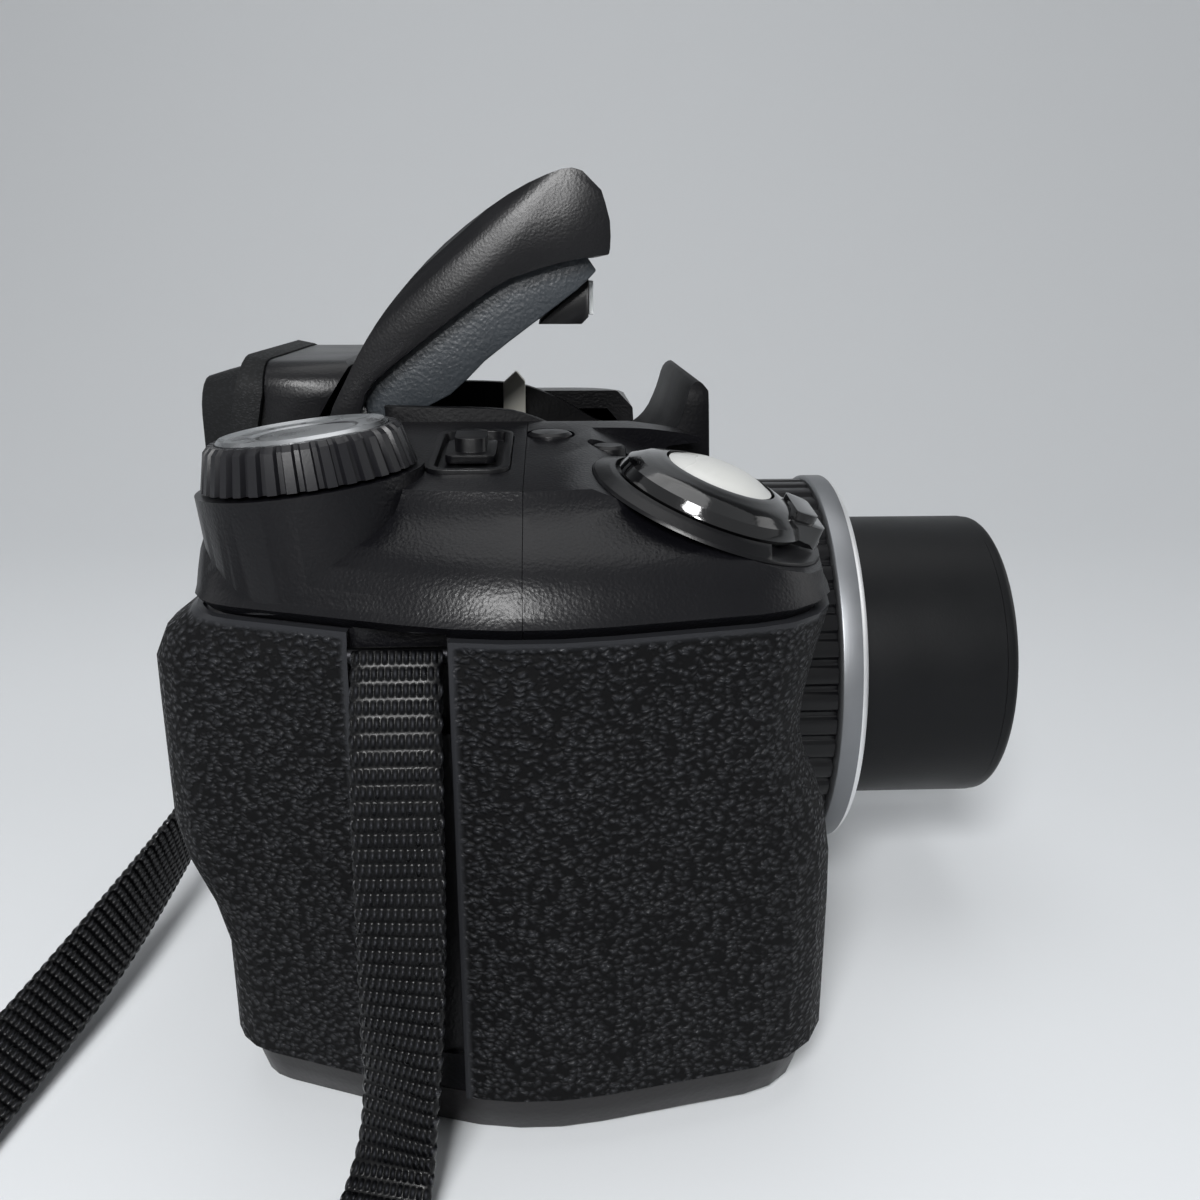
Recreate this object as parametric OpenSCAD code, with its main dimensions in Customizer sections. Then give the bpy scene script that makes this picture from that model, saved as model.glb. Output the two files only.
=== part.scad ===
/* [Body] */
// Distance from the lens axis to the grip side, rubber included
grip_side = 56; // [54:0.5:60]
// Distance from the lens axis to the far side
far_side = 54; // [52:0.5:60]
// Main front face, forward of the seam between the covers
front_depth = 14; // [12:0.5:15]
// Rear face, behind the seam between the covers
rear_depth = 28; // [27:0.5:31]
// Foremost point of the grip, rubber included
grip_reach = 30.7; // [30:0.1:34]
// Rearmost point of the thumb rest, rubber included
thumb_reach = 35.8; // [33:0.1:37]
// Depth of the finger notch in the front of the grip
notch_depth = 3.9; // [2:0.1:4.2]
// Height of the base rim
base_h = 5.4; // [5:0.1:6.5]
// Height of the shoulders, from the rubber to the deck
shoulder_h = 11.2; // [10:0.2:12]
// Wall thickness of the covers
wall = 2; // [1.6:0.1:2.2]
// Thickness of the rubber skins
skin = 1.2; // [0.8:0.1:1.5]

/* [Lens] */
// Height of the lens axis above the base
lens_z = 31; // [30:0.5:34]
// Radius of the silver ring
ring_r = 24.5; // [24.2:0.1:26]
// Length of the silver ring along the lens axis
ring_w = 3.4; // [2.5:0.1:5]
// Front face of the silver ring, forward of the seam
ring_front = 39.4; // [38:0.1:42]
// Radius of the zoom barrel
barrel_r = 18.8; // [17.6:0.1:19]
// How far the zoom barrel stands out of the silver ring
barrel_out = 20.3; // [16:0.1:21]
// Number of ribs on the lens ring
rib_count = 48; // [30:1:60]

/* [Top] */
// Half width of the flash hump
hump_half = 16.5; // [16:0.1:18]
// Angle of the raised flash
flash_open = 40; // [30:1:44]
// Length of the flash head from its hinge
flash_len = 36.4; // [34:0.1:36.6]
// Diameter of the mode dial
dial_d = 20.2; // [17:0.1:21]
// Height of the mode dial
dial_h = 4; // [3:0.1:6]
// Number of grooves round the mode dial
dial_grooves = 36; // [24:1:44]
// Diameter of the zoom lever ring
lever_d = 19; // [17:0.5:20]
// Diameter of the shutter button
shutter_d = 10.6; // [9:0.2:11]

/* [Power and fixing] */
// Diameter of a battery cell
cell_d = 14.2; // [13.5:0.1:14.3]
// Length of a battery cell
cell_len = 50.2; // [49:0.1:50.5]
// Bore of the tripod socket, the tapping size of a quarter-inch thread
tripod_bore = 5.1; // [5:0.05:5.2]
// Depth of the tripod socket
tripod_depth = 5.6; // [5:0.1:6]

/* [Strap] */
// Width of the strap
strap_w = 8; // [7:0.5:9]
// Thickness of the strap
strap_t = 1.5; // [1:0.1:1.8]

/* [Hidden] */
$fn = 48;

// Clearance round pieces that move
run = 0.3;
// Clearance round pieces that are glued or clipped in
seat = 0.1;
// Small step that makes a cut pass right through a face
over = 1;

// Lens: radii and places along the axis, counted forward from the seam
tube_r = ring_r - 1.7;
tube_bore = barrel_r + 1.7;
collar_r = ring_r + 1.2;
collar_front = 26.5;
ring_back = ring_front - ring_w;
barrel_front = ring_front + barrel_out;
barrel_len = 37;
barrel_wall = 1.4;
inner_r = barrel_r - barrel_wall - run;
inner_len = 33;
tube_back = -4;
tube_floor = 2;

// Heights that follow the lens
bay_floor = lens_z + tube_r + 0.4;
bay_depth = 8.8;
hump_front = 40.6;
deck_z = bay_floor + bay_depth;
shoulder_z = deck_z - 10;
rubber_top = deck_z - shoulder_h;
deck_rise = 2.3;
cover_bottom = base_h + 0.2;

// Flash hinge, and the place of the viewfinder behind it
hinge_y = 19.5;
hinge_z = deck_z + 3.2;
flash_pin_r = 0.9;
well_half = hump_half - 1.7;
ear_mid = 10.2;
ear_w = 2.4;
latch_x = 12.6;
latch_u = 17.1;
evf_top = deck_z + 9;
evf_half = hump_half + 0.5;
evf_bottom = deck_z - 6;

// Deck controls: mode dial, shutter button, power switch
dial_pos = [-38.5, 20.2, deck_z + 0.3];
dial_tilt = [-6.5, 0, 0];
shutter_pos = [-38, -18.4, deck_z - 1.6];
shutter_tilt = [20, -6, 0];
shutter_seat_z = -2.2;
power_pos = [-31.4, 5.4, deck_z + 1.15];
power_tilt = [0, -5, 0];
power_size = [17, 8];
burst_pos = [-23.5, -2.5, deck_z + 1.6];
exposure_pos = [-27, -8.6, deck_z + 0.75];
flash_button_pos = [27, 6, deck_z + 1.3];

// Rear controls, as places across and up the rear face
pad_pos = [-20.5, 22];
pad_r = 7;
playback_pos = [-20.5, 36];
display_pos = [-20.5, 10.2];
small_r = 2.6;
button_stand = 0.8;

// Rear display
lcd_mid = [16, 30];
lcd_size = [54, 41];
board_y = rear_depth - 7.2;

// Strap slots
slot_y = [6.5, 15.1];
slot_mid = (slot_y[0] + slot_y[1]) / 2;
slot_deep = 4;
lug_r = 0.8;
lug_end = 0.15;
lug_z = rubber_top - 2.2;

// Battery compartment, four cells in a zigzag through the grip
cell_mids = [[-38.4, -15.2], [-31, -2.9], [-41, 7.3], [-31, 17.5]];
cell_bottom = 4.2;
door_edge = -22.6;
door_corners = [[door_edge, -11.6, 2], [door_edge, 24.4, 2], [-40.5, 24.4, 4], [-48.8, 9, 9], [-47.8,
    -9, 20],
    [-44.6, -24.2, 7], [-31, -24.2, 6], [-29, -11.6, 3]];
door_t = 2;
door_z = 0.3;
door_hinge_x = door_edge + 1.7;
door_hinge_z = 1.9;
hinge_span = [-7, 20];
catch_pos = [-40, -3];
knuckle_r = 1.4;
pin_r = 0.7;

// Terminal door on the far side
term_y = [3, 15];
term_z = [9.5, 29];

function lerp(a, b, t) = a + (b - a) * t;
function unit(v) = v / norm(v);
function left_normal(a, b) = let (d = unit(b - a)) [-d[1], d[0]];
function xy(p) = [p[0], p[1]];

// Point on a smooth curve that passes through four neighbouring points
function catmull(a, b, c, d, t) =
    0.5 * (2 * b + (c - a) * t + (2 * a - 5 * b + 4 * c - d) * t * t + (3 * b - a - 3 * c + d) * t * t * t);
// Smooth open curve through points, with k steps between neighbours
function curve(p, k) =
    let (n = len(p) - 1)
    [for (i = [0:n - 1]) for (j = [0:k - 1])
        catmull(p[max(i - 1, 0)], p[i], p[i + 1], p[min(i + 2, n)], j / k), p[n]];

// Arc that rounds one corner, as k + 1 points
function corner_arc(a, c, b, r, k) =
    let (u = unit(a - c), v = unit(b - c), half = acos(u * v) / 2, mid = c + unit(u + v) * r / sin(half),
        from = unit(c + u * r / tan(half) - mid), to = unit(c + v * r / tan(half) - mid),
        turn = acos(from * to))
    [for (i = [0:k]) mid + r * (from * sin(turn * (1 - i / k)) + to * sin(turn * i / k)) / sin(turn)];
// Outline with rounded corners, from corners given as x, y and radius
function rounded(c, k = 4) =
    let (n = len(c))
    [for (i = [0:n - 1])
        each corner_arc(xy(c[(i + n - 1) % n]), xy(c[i]), xy(c[(i + 1) % n]), c[i][2], k)];
// The same corners moved inward by d, with their radii kept parallel
function inset(c, d) =
    let (n = len(c))
    [for (i = [0:n - 1])
        let (p = xy(c[i]), m = left_normal(xy(c[(i + n - 1) % n]), p), q = left_normal(p, xy(c[(i + 1)
        % n])),
            convex = m[0] * q[1] - m[1] * q[0] > 0, s = p + (m + q) * d / (1 + m * q))
        [s[0], s[1], max(0.4, c[i][2] + (convex ? -d : d))]];
function at_height(outline, z) = [for (p = outline) [p[0], p[1], z]];

// Solid through a stack of rings that all have the same number of points
module loft(rings) {
    n = len(rings[0]);
    m = len(rings);
    points = [for (r = rings) each r];
    sides = [for (i = [0:m - 2]) for (j = [0:n - 1])
        let (a = i * n + j, b = i * n + (j + 1) % n)
        each [[a, a + n, b + n], [a, b + n, b]]];
    bottom = [for (j = [0:n - 1]) j];
    top = [for (j = [n - 1:-1:0]) (m - 1) * n + j];
    polyhedron(points, concat(sides, [bottom, top]), convexity = 8);
}

module from_lens() translate([0, 0, lens_z]) rotate([90, 0, 0]) children();
module to_rear(p, y) translate([p[0], y, p[1]]) rotate([-90, 0, 0]) children();
module at_dial() translate(dial_pos) rotate(dial_tilt) children();
module at_power() translate(power_pos) rotate(power_tilt) children();
module at_shutter() translate(shutter_pos) rotate(shutter_tilt) children();
// Outlines drawn as forward and up become a solid that is w wide across the camera
module across(w) rotate([90, 0, -90]) linear_extrude(w, center = true) children();
module block(a, b) translate(a) cube(b - a);
module slab(w, h, t, r) linear_extrude(t) polygon(rounded([[-w, -h, r], [w, -h, r], [w, h, r], [-w, h,
    r]] / 2
    * [[1, 0, 0], [0, 1, 0], [0, 0, 2]], 5));
// Rounded opening, cut as a hull of its four corner rods
module opening(w, h, t, r) hull() for (x = [r - w / 2, w / 2 - r], y = [r - h / 2, h / 2 - r])
    translate([x, y, 0]) cylinder(r = r, h = t, $fn = 24);
// Stiffening rib between two points on the inside of a cover
module rib(a, b) hull() {
    translate(a) cylinder(r = 0.6, h = 3, center = true, $fn = 16);
    translate(b) cylinder(r = 0.6, h = 3, center = true, $fn = 16);
}

// Outline of the covers at a height: far side, thumb rest, bowed grip side, grip front and its root
function grip_at(z) =
    let (s = (z - 39.5) / (z > 39.5 ? 13 : 7.5))
    grip_reach - skin - notch_depth * exp(-s * s);
function thumb_at(z) =
    let (low = rear_depth + 2.4, swell = thumb_reach - skin - low, s = (z - 16) / 14)
    low + swell * (s <= 0 ? 0 : s >= 1 ? 1 : s * s * (3 - 2 * s))
    - 4.6 * exp(-pow((z - rubber_top - 0.7) / 2.6, 2));
function plan(z) =
    let (side = grip_side - skin + 1.1, g = grip_at(z), t = thumb_at(z))
    [[far_side, -front_depth, 9], [far_side, rear_depth, 10], [-29, rear_depth, 12], [-35, t, 5],
        [-45, t - 0.6, 6.5], [-side, 1.5, 30], [-49.2, -g, 9.6], [-30.6, -g, 8.6], [-25.4, -front_depth,
        4.5]];
// Outline that the shoulders close in to, at the foot of the hump
hump_plan = [[17, -12, 2], [17, 25, 2], [0, 25.5, 3], [-10, 26.5, 2], [-16, 25, 2], [-18, 8, 8], [-16.5,
    -11, 2],
    [-11, -12.5, 2], [-6, -12, 2]];
// Shoulder profile as share of the way to the hump, and height
shoulder = [[0, 0], [0.018, 0.7], [0.035, 2], [0.065, 3.8], [0.115, 5.4], [0.18, 6.7], [0.23, 7.9],
    [0.258, 9.1],
    [0.272, 9.8], [0.3, 10], [0.98, 10 + deck_rise]];
function shoulder_plan(t) = lerp(inset(plan(rubber_top), -skin), hump_plan, t);
body_levels = [cover_bottom, 11, 16, 21, 26, 30, 33, 36, 39.5, 43, 47, 49.4, 50.8];

module body_outer()
    loft(concat([for (z = concat(body_levels, [rubber_top])) at_height(rounded(plan(z)), z)],
        [for (s = shoulder) at_height(rounded(shoulder_plan(s[0])), shoulder_z + s[1])]));
module body_inner() {
    loft(concat([for (z = concat([-over], body_levels, [rubber_top - 1]))
            at_height(rounded(inset(plan(max(z, cover_bottom)), wall)), z)],
        [for (s = shoulder) if (s[0] < 0.9)
            at_height(rounded(inset(shoulder_plan(s[0]), wall)),
            shoulder_z + s[1] - wall * (0.2 + 0.8 * s[1] / 10))],
        [at_height(rounded(inset(shoulder_plan(0.8), wall)), deck_z + deck_rise - wall - 0.5)]));
}

module front_half(gap = 0) block([-90, -90, -20], [90, -gap, 120]);
module rear_half(gap = 0) block([-90, gap, -20], [90, 90, 120]);
// Bay that the hump drops into
module hump_bay(c) block([-hump_half - c, hinge_y - hump_front - c, bay_floor - c],
    [hump_half + c, hinge_y + 8, 120]);

// Covers
module front_cover() color("#17171a") difference() {
    union() {
        difference() {
            intersection() {
                body_outer();
                front_half(0.03);
            }
            difference() {
                body_inner();
                at_shutter() translate([-40, -40, shutter_seat_z - 2.2]) cube([58, 62, 32]);
            }
        }
        from_lens() translate([0, 0, front_depth - wall]) cylinder(r1 = collar_r + 0.8, r2 = collar_r,
            h = collar_front - front_depth + wall, $fn = 96);
        intersection() {
            body_outer();
            front_half(0.03);
            for (z = [12, 18, 24, 38, 44])
                rib([31, -front_depth + wall, z], [50, -front_depth + wall, z]);
        }
    }
    from_lens() translate([0, 0, -over]) cylinder(r = tube_r + run, h = collar_front + 2 * over, $fn = 96);
    hump_bay(seat);
    at_shutter() translate([-40, -40, shutter_seat_z]) cube([58, 62, 30]);
    at_shutter() translate([0, 0, -20]) cylinder(r = 3.4, h = 30);
    translate(burst_pos) button_hole(2.4);
    translate(exposure_pos) button_hole(1.9);
    translate([34, -front_depth - over, shoulder_z - 6]) rotate([-90, 0, 0]) opening(7 + seat * 2,
        4 + seat * 2, 9, 1.9);
    for (x = [-4, 0, 4])
        translate([40 + x, -front_depth - over, shoulder_z - 14]) rotate([-90, 0, 0]) opening(1.2, 4, 9,
        0.5);
}

module rear_cover() color("#18181b") difference() {
    union() {
        difference() {
            union() {
                intersection() {
                    body_outer();
                    rear_half(0.03);
                }
                at_dial() translate([0, 0, -10.5]) cylinder(r = dial_d / 2 + 0.6, h = 10.2, $fn = 64);
            }
            difference() {
                body_inner();
                at_dial() translate([0, 0, -4.6]) cylinder(r = dial_d / 2 + 0.6, h = 4.3, $fn = 64);
            }
        }
        intersection() {
            body_outer();
            for (s = [-1, 1])
                block([s > 0 ? far_side - slot_deep - wall : -90, slot_y[0] - wall, cover_bottom + 1],
                    [s > 0 ? 90 : -grip_side + slot_deep + wall + skin, slot_y[1] + wall, rubber_top]);
        }
    }
    block([-90, slot_y[0], cover_bottom + 4], [-grip_side + skin + 1.8, slot_y[1], rubber_top + 0.4]);
    for (s = [-1, 1]) {
        block([s > 0 ? far_side - slot_deep : -90, slot_y[0], lug_z - 7],
            [s > 0 ? 90 : -grip_side + skin + slot_deep, slot_y[1], lug_z + 2.4]);
        translate([lug_x(s), slot_y[0] - lug_end, lug_z]) rotate([-90, 0, 0])
            cylinder(r = lug_r + 0.05, h = slot_y[1] - slot_y[0] + 2 * lug_end, $fn = 24);
    }
    hump_bay(seat);
    block([-evf_half - seat, hinge_y + 1, evf_bottom - seat], [evf_half + seat, 90, 120]);
    to_rear(lcd_mid, rear_depth - 5) opening(lcd_size[0] + 2 * seat, lcd_size[1] + 2 * seat, 9, 2);
    to_rear(pad_pos, rear_depth - 5) cylinder(r = pad_r + run, h = 9);
    to_rear(playback_pos, rear_depth - 5) opening(2 * small_r + 2 * run, 2 * small_r + 2 * run, 12,
        small_r);
    to_rear(display_pos, rear_depth - 5) opening(2 * small_r + 2 * run, 2 * small_r + 2 * run, 9, small_r);
    at_power() translate([0, 0, -1.4]) opening(power_size[0] + 2 * seat, power_size[1] + 2 * seat, 9, 2);
    at_power() translate([0, 0, -9]) opening(6.8, 3.8, 12, 1.2);
    translate(flash_button_pos) button_hole(2.6);
    at_dial() translate([0, 0, -20]) cylinder(r = 2.5, h = 30);
    at_dial() translate([0, 0, -run]) cylinder(r = dial_d / 2 + 0.6, h = 30, $fn = 64);
    translate([far_side - 1.9, (term_y[0] + term_y[1]) / 2 - 0.6, (term_z[0] + term_z[1]) / 2])
        rotate([90, 0, 90])
        opening(term_y[1] - term_y[0] + 2 * run + 1.6, term_z[1] - term_z[0] + 2 * run, 9, 1.5);
    translate([far_side - 9, (term_y[0] + term_y[1]) / 2 - 1, (term_z[0] + term_z[1]) / 2]) rotate([90,
        0, 90])
        opening(7, 18, 12, 1);
}

// Round hole through the deck for a button
module button_hole(r) translate([0, 0, -12]) cylinder(r = r + run, h = 24, $fn = 32);
function lug_x(s) = s > 0 ? far_side - 1.7 : -grip_side + skin + 3;

// Top hump with the bay for the flash head, and the visor lip over the lens
hump_line = [[-1, 3.2], [1.5, 4], [8, 3.9], [15, 3.7], [19, 3.1], [24, 1], [28.5, -1.6],
    [32.5, -2.5], [35.4, -0.6], [37.1, 2.8], [38, 5.8], [39.1, 6.6], [40.1, 5.6]];
module top_hump() color("#141417") difference() {
    union() {
        difference() {
            intersection() {
                translate([0, hinge_y, 0]) across(2 * hump_half)
                    polygon(concat([[hump_front, bay_floor], [-7.6, bay_floor], [-7.6, evf_bottom - seat],
                        [-1.6, evf_bottom - seat]], [for (p = curve(hump_line, 3)) [p[0], deck_z + p[1]]]));
                rotate([90, 0, 0]) linear_extrude(200, center = true) polygon(rounded([
                    [-hump_half, bay_floor - 1, 0.5], [hump_half, bay_floor - 1, 0.5],
                    [hump_half, deck_z + 8, 4], [-hump_half, deck_z + 8, 4]], 5));
            }
            block([-well_half, hinge_y - 32.1, bay_floor + 3.2], [well_half, hinge_y + 9, 120]);
            block([-12.4, hinge_y - 30.9, bay_floor + 1], [12.4, hinge_y - 18.5, 120]);
            translate([0, hinge_y, hinge_z]) rotate([0, 90, 0]) cylinder(r = 3.4, h = 60, center = true);
        }
        for (side = [-1, 1]) translate([side * ear_mid, hinge_y, 0]) across(ear_w) {
            translate([0, hinge_z]) circle(r = 1.8);
            polygon([[-1.8, bay_floor + 3], [1.8, bay_floor + 3], [1.8, hinge_z], [-1.8, hinge_z]]);
        }
    }
    translate([0, hinge_y, hinge_z]) rotate([0, 90, 0])
        cylinder(r = flash_pin_r + 0.05, h = 2 * frame_half, center = true);
}

// Base plate with the battery opening, and the bush for a tripod screw
function base_outline(d) = rounded(inset(plan(cover_bottom), d), 4);
module base_plate() color("#1d1d20") difference() {
    union() {
        difference() {
            loft([at_height(base_outline(2), 0), at_height(base_outline(1.2), 0.8),
                at_height(base_outline(0.5), 3.2),
                at_height(base_outline(0.1), base_h)]);
            translate([0, 0, 2.4]) linear_extrude(base_h) polygon(base_outline(2.8));
            translate([0, 0, -over]) linear_extrude(9) polygon(rounded(inset(door_corners, -run)));
            block([door_edge - 1, door_corners[0][1] - run, -over],
                [door_hinge_x + knuckle_r + 0.5, door_corners[1][1] + run, 9]);
            from_lens() translate([0, 0, front_depth - wall - seat]) cylinder(r = collar_r + 0.8 + seat,
                h = 20, $fn = 96);
        }
        for (y = [hinge_span[0] - run - 3, hinge_span[1] + run]) {
            block([door_hinge_x, y, 0.6], [door_hinge_x + 2.6, y + 3, door_hinge_z + knuckle_r]);
            translate([door_hinge_x, y, door_hinge_z]) rotate([-90, 0, 0]) cylinder(r = knuckle_r, h = 3);
        }
    }
    translate([0, 0, -over]) cylinder(d = 10 + 2 * seat, h = 9);
    translate([door_hinge_x, hinge_span[0] - 3, door_hinge_z]) rotate([-90, 0, 0])
        cylinder(r = pin_r + 0.05, h = hinge_span[1] - hinge_span[0] + 6);
    for (p = screw_mids) translate([p[0], p[1], -over]) {
        cylinder(d = 2.2, h = 9, $fn = 24);
        cylinder(d = 4 + 2 * seat, h = 1.2 + over, $fn = 24);
    }
}
screw_mids = [[48.6, -4], [44, 20], [-13, 22], [-12, -9]];
module tripod_bush() color("#b4b6b8") difference() {
    union() {
        cylinder(d = 10, h = tripod_depth + 1.6);
        translate([0, 0, 2.4 + seat]) cylinder(d = 15, h = 1.4);
    }
    translate([0, 0, -over]) cylinder(d = tripod_bore, h = tripod_depth + over);
}
module base_screws() color("#8d8f92") for (p = screw_mids) translate([p[0], p[1], 0]) difference() {
    union() {
        translate([0, 0, 0.2]) cylinder(d = 4, h = 1, $fn = 24);
        cylinder(d = 2, h = 7.5, $fn = 24);
    }
    translate([-1.4, -0.3, -over]) cube([2.8, 0.6, 1.6]);
    translate([-0.3, -1.4, -over]) cube([0.6, 2.8, 1.6]);
}

// Rubber skins on the grip and the thumb rest, shaped by the same outline
module skin_zone(a, b) intersection() {
    difference() {
        skin_levels(skin, 0.2, 0);
        skin_levels(0, -over, over);
    }
    block(a, b);
}
module skin_levels(grow, low, high)
    loft([for (i = [0:len(skin_z) - 1]) let (last = i == len(skin_z) - 1)
        at_height(rounded(inset(plan(skin_z[i]), -grow)), skin_z[i] + (i == 0 ? low : last ? high : 0))]);
skin_z = concat(body_levels, [rubber_top]);
module grip_rubber() color("#202124")
    skin_zone([-90, -90, 0], [-27.5, slot_y[0] - 0.2, 90]);
module thumb_rubber() color("#202124")
    skin_zone([-90, slot_y[1] + 0.2, 0], [-36.2, 90, 90]);

module lug_bar(s) translate([lug_x(s), slot_y[0] - lug_end, lug_z]) rotate([-90, 0, 0])
    cylinder(r = lug_r, h = slot_y[1] - slot_y[0] + 2 * lug_end);
module lug_bar_right() color("#9a9c9f") lug_bar(-1);
module lug_bar_left() color("#9a9c9f") lug_bar(1);

// Lens: fixed tube, ribbed ring, silver ring, optics and sensor
module ribbed_ring() color("#1b1b1d") from_lens() translate([0, 0, collar_front + seat]) difference() {
    linear_extrude(ring_back - collar_front - 2 * seat) polygon([for (i = [0:rib_count - 1])
        for (p = [[0, 0.5], [0.55, 0.5], [0.68, 0], [0.87, 0]])
            let (a = 360 * (i + p[0]) / rib_count, r = ring_r - 1 + p[1]) r * [cos(a), sin(a)]]);
    translate([0, 0, -over]) cylinder(r = tube_r + seat, h = 40, $fn = 96);
}
module silver_ring() color("#a9abad") from_lens() rotate_extrude($fn = 96) polygon([[barrel_r + run,
    ring_back],
    [ring_r - 0.3, ring_back], [ring_r, ring_back + 0.3], [ring_r, ring_front - 0.7], [ring_r - 0.7,
    ring_front],
    [tube_bore + 1.2, ring_front], [tube_bore, ring_front - 1], [barrel_r + run, ring_front - 1]]);
module lens_tube() color("#2a2a2d") from_lens() rotate_extrude($fn = 96) polygon([[9.2, tube_back],
    [tube_r, tube_back], [tube_r, ring_back - seat], [tube_bore, ring_back - seat], [tube_bore,
    tube_back + tube_floor],
    [9.2, tube_back + tube_floor]]);
module rear_lens_group() color("#3a4048") from_lens() rotate_extrude() polygon([[0, tube_back + 0.6],
    [9, tube_back + 0.6], [9, tube_back + 4], [8, tube_back + 5], [0, tube_back + 6.2]]);
module image_sensor() color("#3f6b4a") translate([0, -tube_back + 1.6 + seat, lens_z]) difference() {
    cube([26, 3.2, 22], center = true);
    translate([0, -1.6, 0]) cube([9, 1, 7], center = true);
}
module zoom_motor() color("#8f8f93") translate([0, 0, lens_z]) rotate([0, 28, 0])
    translate([tube_r + 5.2, 0, 0]) rotate([90, 0, 0]) {
    cylinder(r = 5, h = 14, center = true);
    cylinder(r = 1, h = 20, center = true);
}
module main_board() color("#24563a") {
    block([-10, board_y, 9], [46, board_y + 1.4, 50]);
    block([-2, board_y - 2.8, 20], [16, board_y, 38]);
    block([24, board_y - 2.4, 30], [38, board_y, 46]);
}
module lcd_panel() color("#2b2d33") to_rear(lcd_mid, rear_depth - 5.6) slab(lcd_size[0] - 1,
    lcd_size[1] - 1, 3.9, 1);
module lcd_window() color("#0b0c10") to_rear(lcd_mid, rear_depth - 1.6) slab(lcd_size[0], lcd_size[1],
    1.6, 2);
module zoom_barrel() color("#1c1c1e") from_lens() rotate_extrude($fn = 96) polygon([
    [barrel_r - barrel_wall, barrel_front - barrel_len], [tube_bore - run, barrel_front - barrel_len],
    [tube_bore - run, barrel_front - barrel_len + 3], [barrel_r, barrel_front - barrel_len + 3.6],
    [barrel_r, barrel_front - 1.7], [barrel_r - barrel_wall, barrel_front - 1.7]]);
module barrel_bezel() color("#131315") from_lens() rotate_extrude($fn = 96) polygon(concat(
    [[barrel_r - barrel_wall, barrel_front - 1.6], [barrel_r - 0.1, barrel_front - 1.6]],
    [for (a = [0:15:90]) [barrel_r - 1.1 + cos(a), barrel_front - 1 + sin(a)]],
    [[barrel_r - barrel_wall, barrel_front - 0.1]]));
module inner_barrel() color("#202022") from_lens() rotate_extrude($fn = 96) polygon([
    [inner_r - 1.2, barrel_front - 2 - inner_len], [inner_r, barrel_front - 2 - inner_len],
    [inner_r, barrel_front - 2.4], [inner_r - 0.4, barrel_front - 2], [inner_r - 1.4, barrel_front - 2],
    [inner_r - 2.6, barrel_front - 6], [inner_r - 1.2, barrel_front - 6]]);
module trim_ring() color("#0f0f11") from_lens() rotate_extrude($fn = 96) polygon([
    [10.4, barrel_front - 6.8], [inner_r - 1.3, barrel_front - 6.8], [inner_r - 1.3, barrel_front - 6.1],
    [inner_r - 2.5, barrel_front - 6.1], [12.4, barrel_front - 5], [10.4, barrel_front - 6]]);
module front_lens() color("#3b4a66") from_lens() translate([0, 0, barrel_front - 13.4])
    rotate_extrude($fn = 64)
    polygon(concat([[0, 0], [inner_r - 1.3, 0], [inner_r - 1.3, 3], [12.2, 3], [12.2, 6.5], [10.2, 6.5]],
        [for (a = [20:-5:0]) [10 * sin(a) / sin(20), 6.6 + 1.6 * (cos(a) - cos(20)) / (1 - cos(20))]]));
module focus_lamp() color("#8a4a2c") translate([34, -front_depth + wall + 0.4, shoulder_z - 6])
    rotate([90, 0, 0])
    slab(7, 4, wall + 0.2, 1.8);

// Viewfinder: housing with slanted front, display, lens, eyecup, diopter wheel
module evf_housing() color("#1a1a1d") difference() {
    intersection() {
        translate([0, hinge_y, 0]) across(2 * evf_half) polygon([[-9.8, evf_bottom], [-7.8, evf_bottom],
            [-4.6, hinge_z - 3.6], [-4.4, hinge_z - 1], [-0.6, evf_top - 0.6], [-1.2, evf_top], [-9.8,
            evf_top]]);
        rotate([90, 0, 0]) linear_extrude(200, center = true) polygon(rounded([[-evf_half, evf_bottom, 0.5],
            [evf_half, evf_bottom, 0.5], [evf_half, evf_top, 4], [-evf_half, evf_top, 4]], 5));
    }
    translate([0, hinge_y + 6, eye_z]) rotate([-90, 0, 0]) cylinder(r = eye_r + 0.2, h = 30);
    translate(diopter_pos - [run, 0, 0]) rotate([0, 90, 0]) cylinder(r = diopter_r + run, h = 9);
}
evf_mid = (evf_bottom + evf_top) / 2;
eye_z = evf_mid + 0.3;
eye_r = 4.9;
diopter_r = 2.2;
diopter_pos = [evf_half - 2.3, hinge_y + 6.4, eye_z + 3];
module evf_display() color("#20242c") translate([0, hinge_y + 6.1, eye_z]) rotate([-90, 0, 0])
    cylinder(r = eye_r, h = 1.2);
module eyepiece_lens() color("#5a6a80") translate([0, hinge_y + 7.6, eye_z]) rotate([-90, 0, 0])
    rotate_extrude()
    polygon(concat([[0, 0], [eye_r, 0], [eye_r, 1.8]], [for (x = [4.4:-1.1:0]) [x,
    3 - 1.2 * pow(x / eye_r, 2)]]));
module eyecup() color("#232427") difference() {
    union() {
        hull() {
            translate([0, hinge_y + 9.9, evf_mid]) rotate([-90, 0, 0]) slab(2 * evf_half - 1.6,
                evf_top - evf_bottom - 1, 2, 4);
            translate([0, 35.2, evf_mid - 0.4]) rotate([-90, 0, 0]) slab(2 * evf_half - 3,
                evf_top - evf_bottom - 3, 1.6, 4);
        }
        translate([0, hinge_y + 10.8, evf_mid]) rotate([-78, 0, 0]) slab(2 * evf_half + 1.2,
            evf_top - evf_bottom + 0.4, 3, 4.4);
    }
    translate([0, 0, eye_z]) rotate([-90, 0, 0]) cylinder(r = eye_r + 1, h = 90);
    translate([0, 32.4, evf_mid - 0.3]) rotate([-90, 0, 0]) slab(2 * evf_half - 7,
        evf_top - evf_bottom - 6, 9, 4);
    block([-90, 0, 0], [90, hinge_y + 9.9, 120]);
}
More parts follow.
